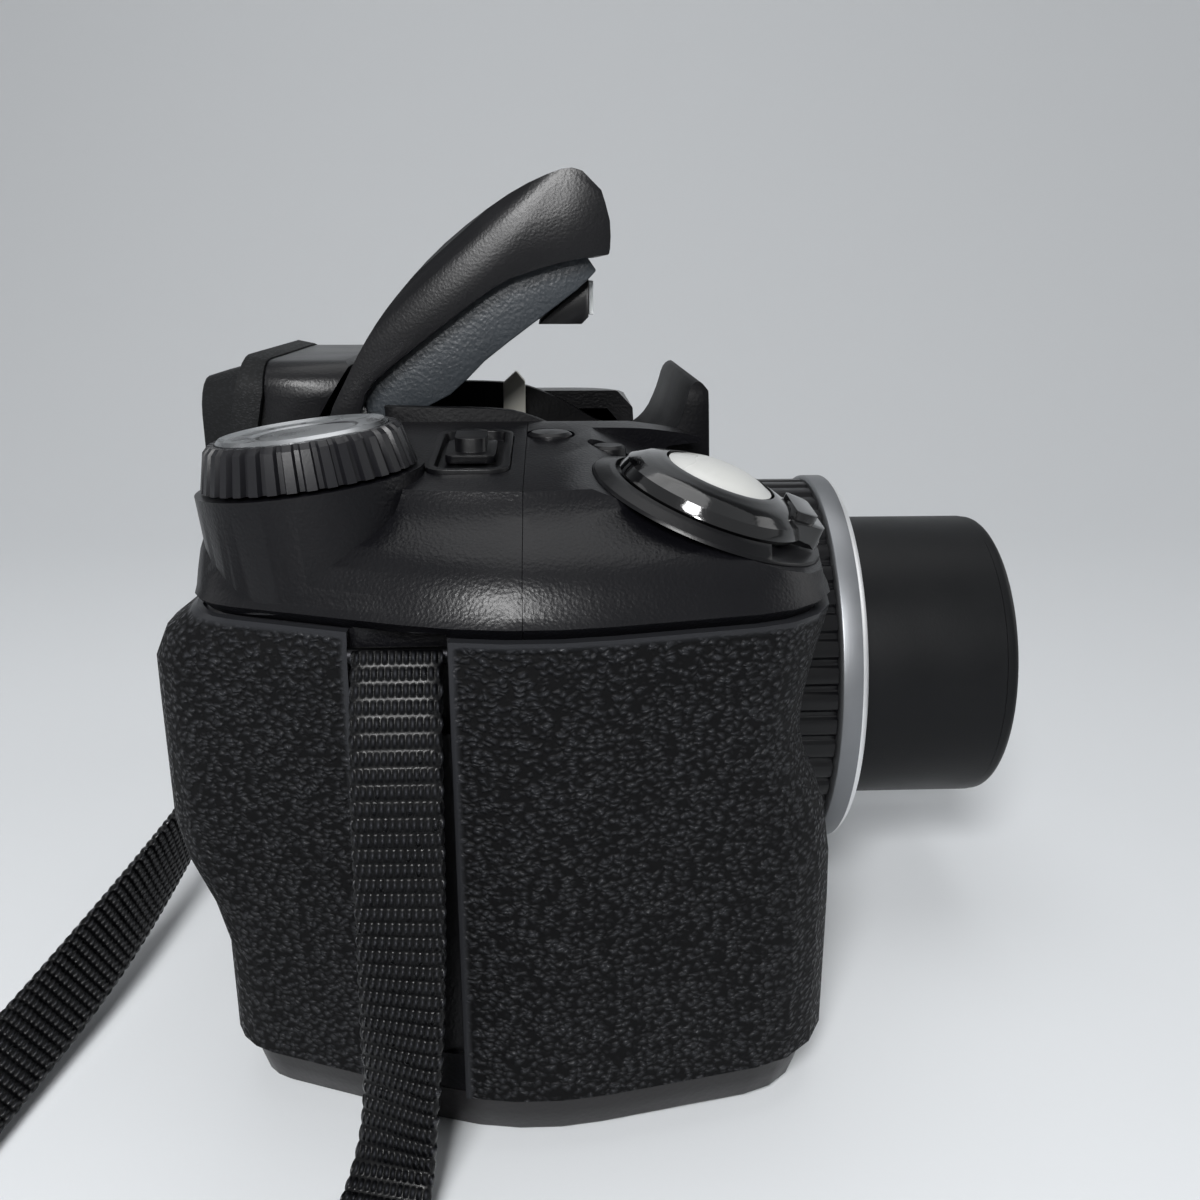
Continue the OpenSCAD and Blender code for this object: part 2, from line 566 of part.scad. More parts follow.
module diopter_wheel() color("#161618") translate(diopter_pos) rotate([0, 90, 0])
    loft(knurl_rings(diopter_r, 2.7, 16, 0.25, 0));

// Wheel with grooves round its edge, narrowing a little to the top
function knurl_ring(r, count, deep, z) = [for (i = [0:count - 1]) for (p = [[0, 0], [0.5, 0], [0.62,
    deep], [0.88, deep]])
    let (a = 360 * (i + p[0]) / count) [(r - p[1]) * cos(a), (r - p[1]) * sin(a), z]];
function knurl_rings(r, h, count, deep, taper) = [knurl_ring(r, count, deep, 0),
    knurl_ring(r - taper, count, deep, h - 0.5), knurl_ring(r - taper - 0.5, count, deep, h)];

// Batteries and their contacts, flash capacitor
module battery_cells() color("#c9a24a") for (p = cell_mids) translate([p[0], p[1], cell_bottom])
    rotate_extrude()
    polygon([[0, 0], [cell_d / 2 - 1, 0], [cell_d / 2, 1], [cell_d / 2, cell_len - 2.2],
    [cell_d / 2 - 1, cell_len - 1.4],
        [2.7, cell_len - 1.2], [2.7, cell_len], [0, cell_len]]);
module battery_contacts() color("#c0c2c4") for (i = [0, 2]) hull() for (p = [cell_mids[i],
    cell_mids[i + 1]])
    translate([p[0], p[1], cell_bottom + cell_len + 0.2]) cylinder(r = 3, h = 0.5, $fn = 24);
module flash_capacitor() color("#30343c") translate([40.6, 3, 2.6 + 6]) rotate([90, 0, 0]) {
    cylinder(r = 6, h = 14);
    translate([0, 0, -1]) cylinder(r = 5.6, h = 1.2);
}

// Shutter group: seat, zoom lever with its stepped tab, domed button
module shutter_seat() color("#222225") at_shutter() translate([0, 0, shutter_seat_z + 0.05]) difference() {
    rotate_extrude($fn = 64) polygon([[0, 0], [lever_d / 2 + 2.4, 0], [lever_d / 2 + 2.2, 0.3],
        [lever_d / 2 + 0.4, 1.1], [lever_d / 2 + 0.4, 0.25], [0, 0.25]]);
    translate([0, 0, -over]) cylinder(r = 3.4, h = 9);
    block([-20, -20, 0.25], [20, -4.8, 9]);
}
module zoom_lever() color("#0d0d0f") at_shutter() translate([0, 0, -1.6]) difference() {
    union() {
        rotate_extrude($fn = 64) polygon([[shutter_d / 2 + run, 0], [lever_d / 2 - 0.5, 0],
            [lever_d / 2, 0.7],
            [lever_d / 2 - 0.5, 1.7], [lever_d / 2 - 2, 2.6], [shutter_d / 2 + run, 3.2]]);
        linear_extrude(2.2) polygon(rounded([[-4.2, -7, 0.5], [-3.6, -10.9, 1.2], [3.6, -10.9, 1.2],
            [4.2, -7, 0.5]]));
        translate([0, 0, 2]) linear_extrude(1) polygon(rounded([[-3.4, -7.6, 0.5], [-2.9, -9.9, 0.9],
            [2.9, -9.9, 0.9],
            [3.4, -7.6, 0.5]]));
    }
    translate([0, 0, -over]) cylinder(r = shutter_d / 2 + run, h = 9);
}
module shutter_button() color("#c8c9c8") at_shutter() rotate_extrude($fn = 64) polygon(concat(
    [[0, -4.2], [3, -4.2], [3, -0.4], [shutter_d / 2, -0.4], [shutter_d / 2, 1.5]],
    [for (a = [60:-12:0]) [(shutter_d / 2 - 0.3) * sin(a) / sin(60), 1.6 + 1 * (cos(a) - 0.5) / 0.5]]));

// Deck buttons and power switch
module deck_button(r, stand) rotate_extrude() polygon([[0, -4.5], [r, -4.5], [r, stand - 0.3], [r - 0.4,
    stand], [0, stand + 0.1]]);
module burst_button() color("#1b1b1e") translate(burst_pos) deck_button(2.4, 0.5);
module exposure_button() color("#1b1b1e") translate(exposure_pos) deck_button(1.9, 0.4);
module flash_button() color("#1b1b1e") translate(flash_button_pos) deck_button(2.6, 0.9);
module power_bezel() color("#232326") at_power() translate([0, 0, -1.3]) difference() {
    slab(power_size[0], power_size[1], 1.7, 1.9);
    translate([0, 0, 0.7]) slab(power_size[0] - 1.6, power_size[1] - 1.6, 3, 1.4);
    translate([0, 0, -over]) slab(6.2, 3.2, 3, 1);
}
module power_slider() color("#1a1a1c") at_power() translate([0, 0, -run]) {
    slab(7, 5, 0.8, 0.9);
    translate([0, 0, 0.7]) slab(4.6, 3.2, 1.5, 1.2);
    translate([0, 0, -2]) slab(2.6, 2.6, 2.2, 0.6);
}

// Mode dial and its metal disc
module mode_dial() color("#151517") at_dial() loft(concat(
    [for (z = [-7, 0]) knurl_ring(2.2, dial_grooves, 0, z)],
    knurl_rings(dial_d / 2, dial_h, dial_grooves, 0.5, 0.9),
    [for (z = [dial_h, dial_h - 0.5]) knurl_ring(dial_d / 2 - 2, dial_grooves, 0, z)]));
module dial_disc() color("#7d7f82") at_dial() translate([0, 0, dial_h - 0.4]) rotate_extrude($fn = 64)
    polygon([[0, 0], [dial_d / 2 - 2 - seat, 0], [dial_d / 2 - 2 - seat, 0.5], [dial_d / 2 - 2.4, 0.8],
        [dial_d / 2 - 2.9, 0.55], [dial_d / 4, 0.55], [dial_d / 4 - 0.3, 0.4], [0, 0.4]]);

// Rear buttons
module rear_button(p, r) to_rear(p, rear_depth) rotate_extrude() polygon([[0, -3.2], [r + 0.7, -3.2],
    [r + 0.7, -2.4],
    [r, -2.4], [r, button_stand - 0.3], [r - 0.4, button_stand], [0, button_stand + 0.1]]);
module menu_pad() color("#232326") to_rear(pad_pos, rear_depth) difference() {
    rotate_extrude() polygon([[0, -3.2], [pad_r + 0.7, -3.2], [pad_r + 0.7, -2.4], [pad_r, -2.4],
        [pad_r, 0.4], [pad_r - 0.5, 0.8],
        [pad_r - 2.4, 0.3], [0, 0.3]]);
    translate([0, 0, -9]) cylinder(r = 3 + run, h = 20);
}
module ok_button() color("#1b1b1e") to_rear(pad_pos, rear_depth) rotate_extrude() polygon([[0, -5],
    [3.6, -5], [3.6, -4.2],
    [3, -4.2], [3, 0.3], [2.6, 0.7], [0, 0.8]]);
module playback_button() color("#1b1b1e") rear_button(playback_pos, small_r);
module display_button() color("#1b1b1e") rear_button(display_pos, small_r);

// Flash head, drawn closed about its hinge: forward and up from the hinge pin, then swung open
lid_top = [[-3.2, -0.4], [-2.4, 1.6], [1.5, 3.3], [6.7, 5.2], [12.2, 6.5], [20, 7.3], [28.7, 6.6],
    [flash_len - 1.6, 4.8], [flash_len, 3.2]];
lid_nose = [[flash_len + 0.3, 0.4], [flash_len - 1, -2.6], [flash_len - 2.8, -4.8], [flash_len - 3.4,
    -5.2]];
seam = [[flash_len - 4.6, -4.4], [28.7, -2.6], [24.4, -0.7], [20.9, 0.3], [12.2, 1], [4, 1.3], [1.6, 0.4]];
frame_under = [[-1.4, -2.2], [2.6, -3.6], [9.3, -5.4], [14.8, -5.1], [21.8, -5.5], [28, -5.9],
    [flash_len - 5.4, -5.7]];
lid_half = hump_half - 0.1;
frame_half = well_half - 0.6;
module at_flash() translate([0, hinge_y, hinge_z]) rotate([-flash_open, 0, 0]) children();
module flash_lid() color("#1b1b1e") at_flash() difference() {
    intersection() {
        across(2 * lid_half) polygon(concat(curve(lid_top, 3), curve(lid_nose, 2), curve(seam, 2),
            [[-1.6, -1.6]]));
        rotate([90, 0, 0]) linear_extrude(200, center = true) polygon(rounded([[-lid_half, -9, 0.5],
            [lid_half, -9, 0.5],
            [lid_half, 7.5, 3], [-lid_half, 7.5, 3]], 5));
    }
    across(2 * frame_half + 2 * seat) offset(delta = -1.4)
        polygon(concat([[0.4, -9]], curve([for (p = lid_top) if (p[0] > 1) p], 2), [[flash_len - 3.4,
        -9]]));
    rotate([0, 90, 0]) cylinder(r = 1.8 + run, h = 2 * frame_half + 2 * seat, center = true);
    across(2 * frame_half + 2 * seat) translate([-4, -9]) square([7.2, 10.8]);
}
module flash_frame() color("#4a4e55") at_flash() difference() {
    union() {
        across(2 * frame_half) polygon(concat([for (p = curve([for (q = seam) if (q[0] > 3) q], 2))
            p + [-0.6, 1.2]],
            curve([for (p = frame_under) if (p[0] > 2) p], 2)));
        for (s = [-1, 1]) translate([s * (frame_half - 1.2), 0, 0]) across(2.4) union() {
            circle(r = 1.7);
            polygon([[0, 1.6], [5, 1.6], [5, -3.4], [0, -1.7]]);
        }
    }
    across(2 * frame_half - 4) translate([6, -4]) square([flash_len - 14, 9]);
    translate([latch_x, 0, 0]) across(3.4) translate([latch_u - 3.7, -12]) square([6.2, 24]);
    rotate([0, 90, 0]) cylinder(r = flash_pin_r + 0.1, h = 60, center = true);
}
module flash_reflector() color("#101012") lamp() polygon([[26.6, 14.6], [26.6, 10.4], [25.8, 9.6],
    [20.8, 9.6]]);
module flash_window() color("#d9dcdd") lamp(3) polygon([[27.2, 14.4], [27.2, 10.6], [26.7, 10.6], [26.7,
    14.4]]);
// Lamp block under the nose, square to the camera while the flash is up
module lamp(less = 0) translate([0, hinge_y, hinge_z]) across(23 - less) children();
module flash_hinge_pin() color("#b9bbbd") translate([0, hinge_y, hinge_z]) rotate([0, 90, 0])
    cylinder(r = flash_pin_r, h = 2 * frame_half - 0.4, center = true);
module flash_latch() color("#d8d8d2") translate([latch_x, hinge_y - latch_u, bay_floor + 3.5]) across(2)
    polygon([[-1.5, 0], [1.5, 0], [1.5, 9.4], [0.3, 10.8], [-1.5, 9.2]]);

// Battery door, its hinge pin and catch; terminal door and sockets
module battery_door() color("#1d1d20") difference() {
    union() {
        translate([0, 0, door_z]) linear_extrude(door_t) polygon(rounded(door_corners));
        translate([door_hinge_x, hinge_span[0], door_hinge_z]) rotate([-90, 0, 0])
            cylinder(r = knuckle_r, h = hinge_span[1] - hinge_span[0]);
        block([door_edge - 1, hinge_span[0], door_hinge_z - 1], [door_hinge_x, hinge_span[1],
            door_z + door_t]);
    }
    translate([door_hinge_x, -90, door_hinge_z]) rotate([-90, 0, 0]) cylinder(r = pin_r + 0.1, h = 180);
    translate([catch_pos[0], catch_pos[1], 0]) slab(9.6, 12.6, 9, 1);
}
module door_hinge_pin() color("#b9bbbd") translate([door_hinge_x, hinge_span[0] - 2.8, door_hinge_z])
    rotate([-90, 0, 0]) cylinder(r = pin_r, h = hinge_span[1] - hinge_span[0] + 5.6);
module door_catch() color("#2a2a2d") translate([catch_pos[0] - 1.2, catch_pos[1], door_z + 0.2]) {
    slab(6, 12, 2.3, 0.8);
    for (x = [-1.6, 0, 1.6]) translate([x, 0, -0.15]) slab(0.7, 9, 0.4, 0.3);
    translate([0, 0, door_t + run - 0.2]) slab(13, 14, 0.8, 0.8);
}
module terminal_door() color("#1f2023") {
    translate([far_side - 1.6, (term_y[0] + term_y[1]) / 2, (term_z[0] + term_z[1]) / 2]) rotate([90, 0,
        90])
        slab(term_y[1] - term_y[0], term_z[1] - term_z[0], 1.6, 1.4);
    translate([far_side - 0.2, term_y[1] - 1.4, (term_z[0] + term_z[1]) / 2]) rotate([90, 0, 90])
        slab(1, 8, 0.6, 0.4);
    translate([far_side - 0.8, term_y[0] - 0.3, term_z[0] + 2]) cylinder(r = 0.7,
        h = term_z[1] - term_z[0] - 4);
}
module terminal_sockets() color("#a7a9ab") for (z = [term_z[0] + 5.5, term_z[0] + 13.5])
    translate([far_side - 9.4, (term_y[0] + term_y[1]) / 2 - 1, z])
    rotate([90, 0, 90]) difference() {
        slab(6.4, 4.6, 7, 0.8);
        translate([0, 0, 1.5]) slab(5.2, 3.2, 9, 0.5);
    }

// Strap: flat webbing from lug to lug, with the spare length rolled on edge
coil_mid = [-134, 6];
coil_core = 40;
coil_pitch = 6;
strap_floor = strap_w / 2 + 0.3;
coil_exit_right = coil_mid[1] + coil_core + coil_pitch;
coil_exit_left = coil_mid[1] + coil_core + 1.5 * coil_pitch;
// Each place is a point on the middle of the strap and the way its width lies
right_route = [
    [[lug_x(-1) - lug_r - strap_t / 2 - seat, slot_mid, lug_z + 1], [0, 1, 0]],
    [[-56.4, slot_mid, 45], [0, 1, 0]], [[-58.2, slot_mid, 39], [0, 1, 0]], [[-58.6, 10.9, 32], [0, 1, 0]],
    [[-58.8, 11.1, 24], [0.1, 1, 0]], [[-59.2, 11.4, 16], [0.3, 1, 0]], [[-60, 11.8, 9], [0.55, 1, 0.1]],
    [[-62, 12.4, 4.2], [0.5, 1, 0.15]], [[-66, 13.4, 2.2], [0.3, 1, 0.2]], [[-71, 15, 3.2], [0.2, 1, 0.6]],
    [[-75, 17.8, 4.2], [0.2, 0.6, 1]], [[-78, 22, 4.4], [0, 0.2, 1]], [[-80.5, 29, strap_floor], [0, 0, 1]],
    [[-84, 37, strap_floor], [0, 0, 1]], [[-91, 45, strap_floor], [0, 0, 1]],
    [[-101, 50.2, strap_floor], [0, 0, 1]], [[-116, 51.8, strap_floor], [0, 0, 1]],
    [[coil_mid[0], coil_exit_right, strap_floor], [0, 0, 1]]];
left_route = [
    [[coil_mid[0], coil_exit_left, strap_floor], [0, 0, 1]], [[-118, 55.4, strap_floor], [0, 0, 1]],
    [[-102, 56, strap_floor], [0, 0, 1]], [[-86, 56.6, strap_floor], [0, 0.1, 1]], [[-70, 56.4, 4.2],
    [0, 0.6, 1]],
    [[-58, 55.4, 4], [0, 1, 0.8]], [[-47, 53.6, 4.4], [0, 1, 0.9]], [[-36, 51.2, 5.8], [0, 0.8, 1]],
    [[-24, 48.8, 7.8], [0, 0.4, 1]], [[-10, 47, 9.8], [0, 0.1, 1]], [[6, 46.4, 11], [0, 0, 1]],
    [[22, 45.6, 12.2], [0, -0.1, 1]], [[36, 43.4, 13.8], [0, -0.2, 1]], [[47, 39.2, 16.4], [-0.2, -0.3, 1]],
    [[54.5, 32.6, 20.4], [-0.3, 0.1, 1]], [[58.6, 25, 26.8], [-0.1, 0.6, 0.8]], [[59.4, 18, 34.2], [0,
    1, 0.5]],
    [[58.4, 12.6, 41], [0, 1, 0.1]], [[56.4, slot_mid, 46], [0, 1, 0]],
    [[lug_x(1) + lug_r + strap_t / 2 + seat, slot_mid, lug_z + 1], [0, 1, 0]]];
// Double roll: in along one arm, across the middle in two half circles, out along the other
function coil_point(r, a) = [[coil_mid[0] + r * sin(a), coil_mid[1] + r * cos(a), strap_floor], [0, 0, 1]];
function middle_point(side, a) = [[coil_mid[0] - side * coil_core / 2 * sin(a),
    coil_mid[1] + coil_core / 2 * (side - cos(a)), strap_floor], [0, 0, 1]];
in_arm = [for (a = [540:-15:0]) coil_point(coil_core + coil_pitch * a / 360, a + 180)];
out_arm = [for (a = [0:15:360]) coil_point(coil_core + coil_pitch * a / 360, a)];
coil_route = concat(in_arm, [for (a = [15:15:180]) middle_point(-1, a)],
    [for (a = [15:15:165]) middle_point(1, a)], out_arm);
// Least gap between turns of the roll: points more than a quarter turn apart along it
coil_gap = min([for (i = [0:len(coil_route) - 8]) for (j = [i + 7:len(coil_route) - 1])
    norm(coil_route[i][0] - coil_route[j][0])]) - strap_t;
echo(least_gap_between_strap_turns_mm = coil_gap);
function frame_at(p, i) =
    let (n = len(p) - 1, t = unit(p[min(i + 1, n)][0] - p[max(i - 1, 0)][0]),
    w = unit(p[i][1] - t * (p[i][1] * t)))
    [p[i][0], w, cross(t, w)];
strap_section = [[0.5, 0.2], [0.44, 0.5], [-0.44, 0.5], [-0.5, 0.2], [-0.5, -0.2], [-0.44, -0.5], [0.44,
    -0.5], [0.5, -0.2]];
module webbing(route)
    loft([for (i = [0:len(route) - 1]) let (f = frame_at(route, i))
        [for (s = strap_section) f[0] + f[1] * s[0] * strap_w + f[2] * s[1] * strap_t]]);
function smooth(route, k) =
    let (p = curve([for (r = route) r[0]], k), w = curve([for (r = route) r[1]], k))
    [for (i = [0:len(p) - 1]) [p[i], w[i]]];
module strap_run() color("#161719") {
    webbing(smooth(right_route, 2));
    webbing(smooth(left_route, 2));
}
module strap_coil() color("#161719") webbing(coil_route);

front_cover();
rear_cover();
top_hump();
base_plate();
tripod_bush();
grip_rubber();
thumb_rubber();
lug_bar_right();
lug_bar_left();
ribbed_ring();
silver_ring();
lens_tube();
rear_lens_group();
image_sensor();
zoom_motor();
main_board();
lcd_panel();
lcd_window();
evf_housing();
evf_display();
eyepiece_lens();
eyecup();
battery_cells();
battery_contacts();
flash_capacitor();
shutter_seat();
power_bezel();
focus_lamp();
flash_hinge_pin();
door_hinge_pin();
terminal_sockets();
base_screws();
zoom_barrel();
barrel_bezel();
inner_barrel();
trim_ring();
front_lens();
mode_dial();
dial_disc();
power_slider();
shutter_button();
zoom_lever();
flash_lid();
flash_frame();
flash_reflector();
flash_window();
flash_latch();
flash_button();
burst_button();
exposure_button();
menu_pad();
ok_button();
playback_button();
display_button();
diopter_wheel();
battery_door();
door_catch();
terminal_door();
strap_run();
strap_coil();
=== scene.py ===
"""Bridge camera with its neck strap: finishes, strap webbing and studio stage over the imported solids."""
import math
from functools import partial

import bpy
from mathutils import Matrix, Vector


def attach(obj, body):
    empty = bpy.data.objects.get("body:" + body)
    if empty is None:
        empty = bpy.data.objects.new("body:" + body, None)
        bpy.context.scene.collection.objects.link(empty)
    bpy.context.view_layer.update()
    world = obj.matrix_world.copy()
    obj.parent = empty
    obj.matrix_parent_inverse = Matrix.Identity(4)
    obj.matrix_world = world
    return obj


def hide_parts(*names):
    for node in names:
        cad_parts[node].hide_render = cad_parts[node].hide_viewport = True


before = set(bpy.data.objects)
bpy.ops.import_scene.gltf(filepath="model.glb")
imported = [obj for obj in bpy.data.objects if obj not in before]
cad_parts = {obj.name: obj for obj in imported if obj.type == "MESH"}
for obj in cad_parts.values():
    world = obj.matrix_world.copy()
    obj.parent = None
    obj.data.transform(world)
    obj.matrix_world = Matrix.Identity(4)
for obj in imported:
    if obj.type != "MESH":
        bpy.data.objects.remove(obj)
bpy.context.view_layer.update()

bl_info = {
    "name": "Bridge camera",
    "version": (1, 0, 0),
    "blender": (4, 5, 0),
    "location": "View3D > Sidebar > Bridge camera",
    "description": "Dresses a bridge camera, its pop-up flash, zoom lens and neck strap",
    "category": "Object",
}

MM = 0.001

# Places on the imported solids, in millimetres, and tilts in degrees
LENS_AXIS = (0, 0, 31)
LENS_TURN = (90, 0, 0)
RING_BEVEL = 38.6
DIAL_MIDDLE = (-38.5, 20.2, 67.3)
DIAL_TURN = (-6.5, 0, 0)
TICK_ROW = 6.25
TICK_HALF = 0.65
DIAL_GROOVE = 4.6
GROOVE_HALF = 0.16
SLOT_MID = 10.8
SLOT_HALF = 4.3
RUBBER_TOP = 51.8


def linear(hex_colour):
    """Turns an sRGB hex colour into linear red, green, blue and alpha."""
    parts = [int(hex_colour[i:i + 2], 16) / 255 for i in (1, 3, 5)]
    return [p / 12.92 if p <= 0.04045 else ((p + 0.055) / 1.055) ** 2.4 for p in parts] + [1.0]


def node(tree, kind, settings=None, inputs=None, out=None):
    """Adds one node. Settings are its choices, inputs are values or sockets to link, out is the socket to hand back."""
    made = tree.nodes.new(kind)
    for key, value in (settings or {}).items():
        setattr(made, key, value)
    for key, value in (inputs or {}).items():
        if isinstance(value, bpy.types.NodeSocket):
            tree.links.new(value, made.inputs[key])
        else:
            made.inputs[key].default_value = value
    return made if out is None else made.outputs[out]


def per_mm(size):
    """Texture scale that gives a pattern of this size in millimetres, on coordinates in metres."""
    return 1000 / size


def new_material(name):
    """An empty material, the function that adds its nodes, and the place on the piece."""
    material = bpy.data.materials.new(name)
    material.use_nodes = True
    material.node_tree.nodes.clear()
    add = partial(node, material.node_tree)
    return material, add, add("ShaderNodeTexCoord", out="Object")


def close_material(add, sockets):
    """Gives the material its shader; plain values sit on the shader's own sockets."""
    surface = add("ShaderNodeBsdfPrincipled", None, sockets, "BSDF")
    add("ShaderNodeOutputMaterial", None, {"Surface": surface})


def drift(add, place, dark, light, size_mm, rough):
    """Colour and gloss that change a little from place to place, as moulding and handling leave them."""
    cloud = add("ShaderNodeTexNoise", None, {"Vector": place, "Scale": per_mm(size_mm), "Detail": 3.0}, "Fac")
    colour = add("ShaderNodeMix", {"data_type": "RGBA"}, {0: cloud, 6: linear(dark), 7: linear(light)}, 2)
    gloss = add("ShaderNodeMapRange", None, {"Value": cloud, "From Min": 0.3, "From Max": 0.7, "To Min": rough[0],
                                             "To Max": rough[1]}, "Result")
    return {"Base Color": colour, "Roughness": gloss}


def grained_abs(name, dark, light, rough, grain_mm, depth_mm, specular=0.4):
    """Moulded ABS from an etched tool: half gloss, with a leathery grain that breaks highlights into glints.

    The grain of such a tool is about 0.1 mm across, and is drawn two to four times as coarse so that it shows."""
    material, add, place = new_material(name)
    cells = add("ShaderNodeTexVoronoi", {"feature": "SMOOTH_F1"},
                {"Vector": place, "Scale": per_mm(grain_mm * 1.5), "Smoothness": 0.5}, "Distance")
    bumps = add("ShaderNodeTexNoise", None, {"Vector": place, "Scale": per_mm(grain_mm), "Detail": 1.5,
                                             "Distortion": 0.3}, "Fac")
    height = add("ShaderNodeMath", {"operation": "ADD"}, {0: cells, 1: bumps}, 0)
    normal = add("ShaderNodeBump", None, {"Height": height, "Distance": depth_mm * MM}, "Normal")
    close_material(add, {**drift(add, place, dark, light, 9, rough), "Normal": normal, "IOR": 1.5,
                         "Specular IOR Level": specular})
    return material


def pebbled_rubber(name, dark, light, rough, pebble_mm, depth_mm, specular=0.2, rim=None):
    """Moulded thermoplastic rubber: dull black, with low oval pebbles that each catch a small highlight.

    Tops are painted lighter and valleys darker: painted highlight on the crests, painted shade in the valleys; the
    tops are also glossier. Rim gives the middle and half width of the strap slot and the height of the top edge, in
    millimetres: the pebbles stop short of these edges, leaving a smooth border in the lighter painted-highlight colour."""
    material, add, place = new_material(name)
    sway = add("ShaderNodeTexNoise", None, {"Vector": place, "Scale": per_mm(pebble_mm * 1.3), "Detail": 1.0}, "Color")
    swayed = add("ShaderNodeVectorMath", {"operation": "MULTIPLY_ADD"},
                 {0: sway, 1: [pebble_mm * MM * 0.9] * 3, 2: place}, 0)
    oval = add("ShaderNodeVectorMath", {"operation": "MULTIPLY"}, {0: swayed, 1: (1.0, 1.0, 1.55)}, 0)
    cells = add("ShaderNodeTexVoronoi", {"feature": "SMOOTH_F1"},
                {"Vector": oval, "Scale": per_mm(pebble_mm), "Smoothness": 0.22}, "Distance")
    pebble = add("ShaderNodeMapRange", {"interpolation_type": "SMOOTHSTEP"},
                 {"Value": cells, "From Min": 0.05, "From Max": 0.68, "To Min": 1.0, "To Max": 0.0}, "Result")
    if rim:
        middle, half, top = (value * MM for value in rim)
        parts = add("ShaderNodeSeparateXYZ", None, {"Vector": place})
        aside = add("ShaderNodeMath", {"operation": "SUBTRACT"}, {0: parts.outputs["Y"], 1: middle}, 0)
        slot = add("ShaderNodeMath", {"operation": "ABSOLUTE"}, {0: aside}, 0)
        from_slot = add("ShaderNodeMapRange", {"interpolation_type": "SMOOTHSTEP"},
                        {"Value": slot, "From Min": half + 0.45 * MM, "From Max": half + 1.1 * MM}, "Result")
        from_top = add("ShaderNodeMapRange", {"interpolation_type": "SMOOTHSTEP"},
                       {"Value": parts.outputs["Z"], "From Min": top - 0.3 * MM, "From Max": top - 0.9 * MM}, "Result")
        inside = add("ShaderNodeMath", {"operation": "MULTIPLY"}, {0: from_slot, 1: from_top}, 0)
        # Towards the slot and the top edge the pebbles flatten out, and the border takes mostly the lighter
        # painted-highlight colour
        pebble = add("ShaderNodeMix", {"data_type": "FLOAT"}, {0: inside, 2: 0.85, 3: pebble}, 0)
    fine = add("ShaderNodeTexNoise", None, {"Vector": place, "Scale": per_mm(0.16), "Detail": 2.0}, "Fac")
    height = add("ShaderNodeMath", {"operation": "MULTIPLY_ADD"}, {0: fine, 1: 0.015, 2: pebble}, 0)
    normal = add("ShaderNodeBump", None, {"Height": height, "Distance": depth_mm * MM}, "Normal")
    # Painted highlight and shade: the colour runs from the dark valleys to the light tops with pebble height
    colour = add("ShaderNodeMix", {"data_type": "RGBA"}, {0: pebble, 6: linear(dark), 7: linear(light)}, 2)
    gloss = add("ShaderNodeMapRange", None, {"Value": pebble, "From Min": 0.1, "From Max": 0.9, "To Min": rough[1],
                                             "To Max": rough[0]}, "Result")
    close_material(add, {"Base Color": colour, "Roughness": gloss, "Normal": normal, "IOR": 1.5,
                         "Specular IOR Level": specular})
    return material


def smooth_plastic(name, dark, light, rough, coat=0.0, specular=0.4):
    """Polished or painted plastic: plain and even, with only a faint ripple from moulding in its highlights."""
    material, add, place = new_material(name)
    ripple = add("ShaderNodeTexNoise", None, {"Vector": place, "Scale": per_mm(0.35), "Detail": 2.0}, "Fac")
    normal = add("ShaderNodeBump", None, {"Height": ripple, "Distance": 0.01 * MM}, "Normal")
    close_material(add, {**drift(add, place, dark, light, 12, rough), "Normal": normal, "IOR": 1.48,
                         "Specular IOR Level": specular, "Coat Weight": coat, "Coat Roughness": 0.06})
    return material


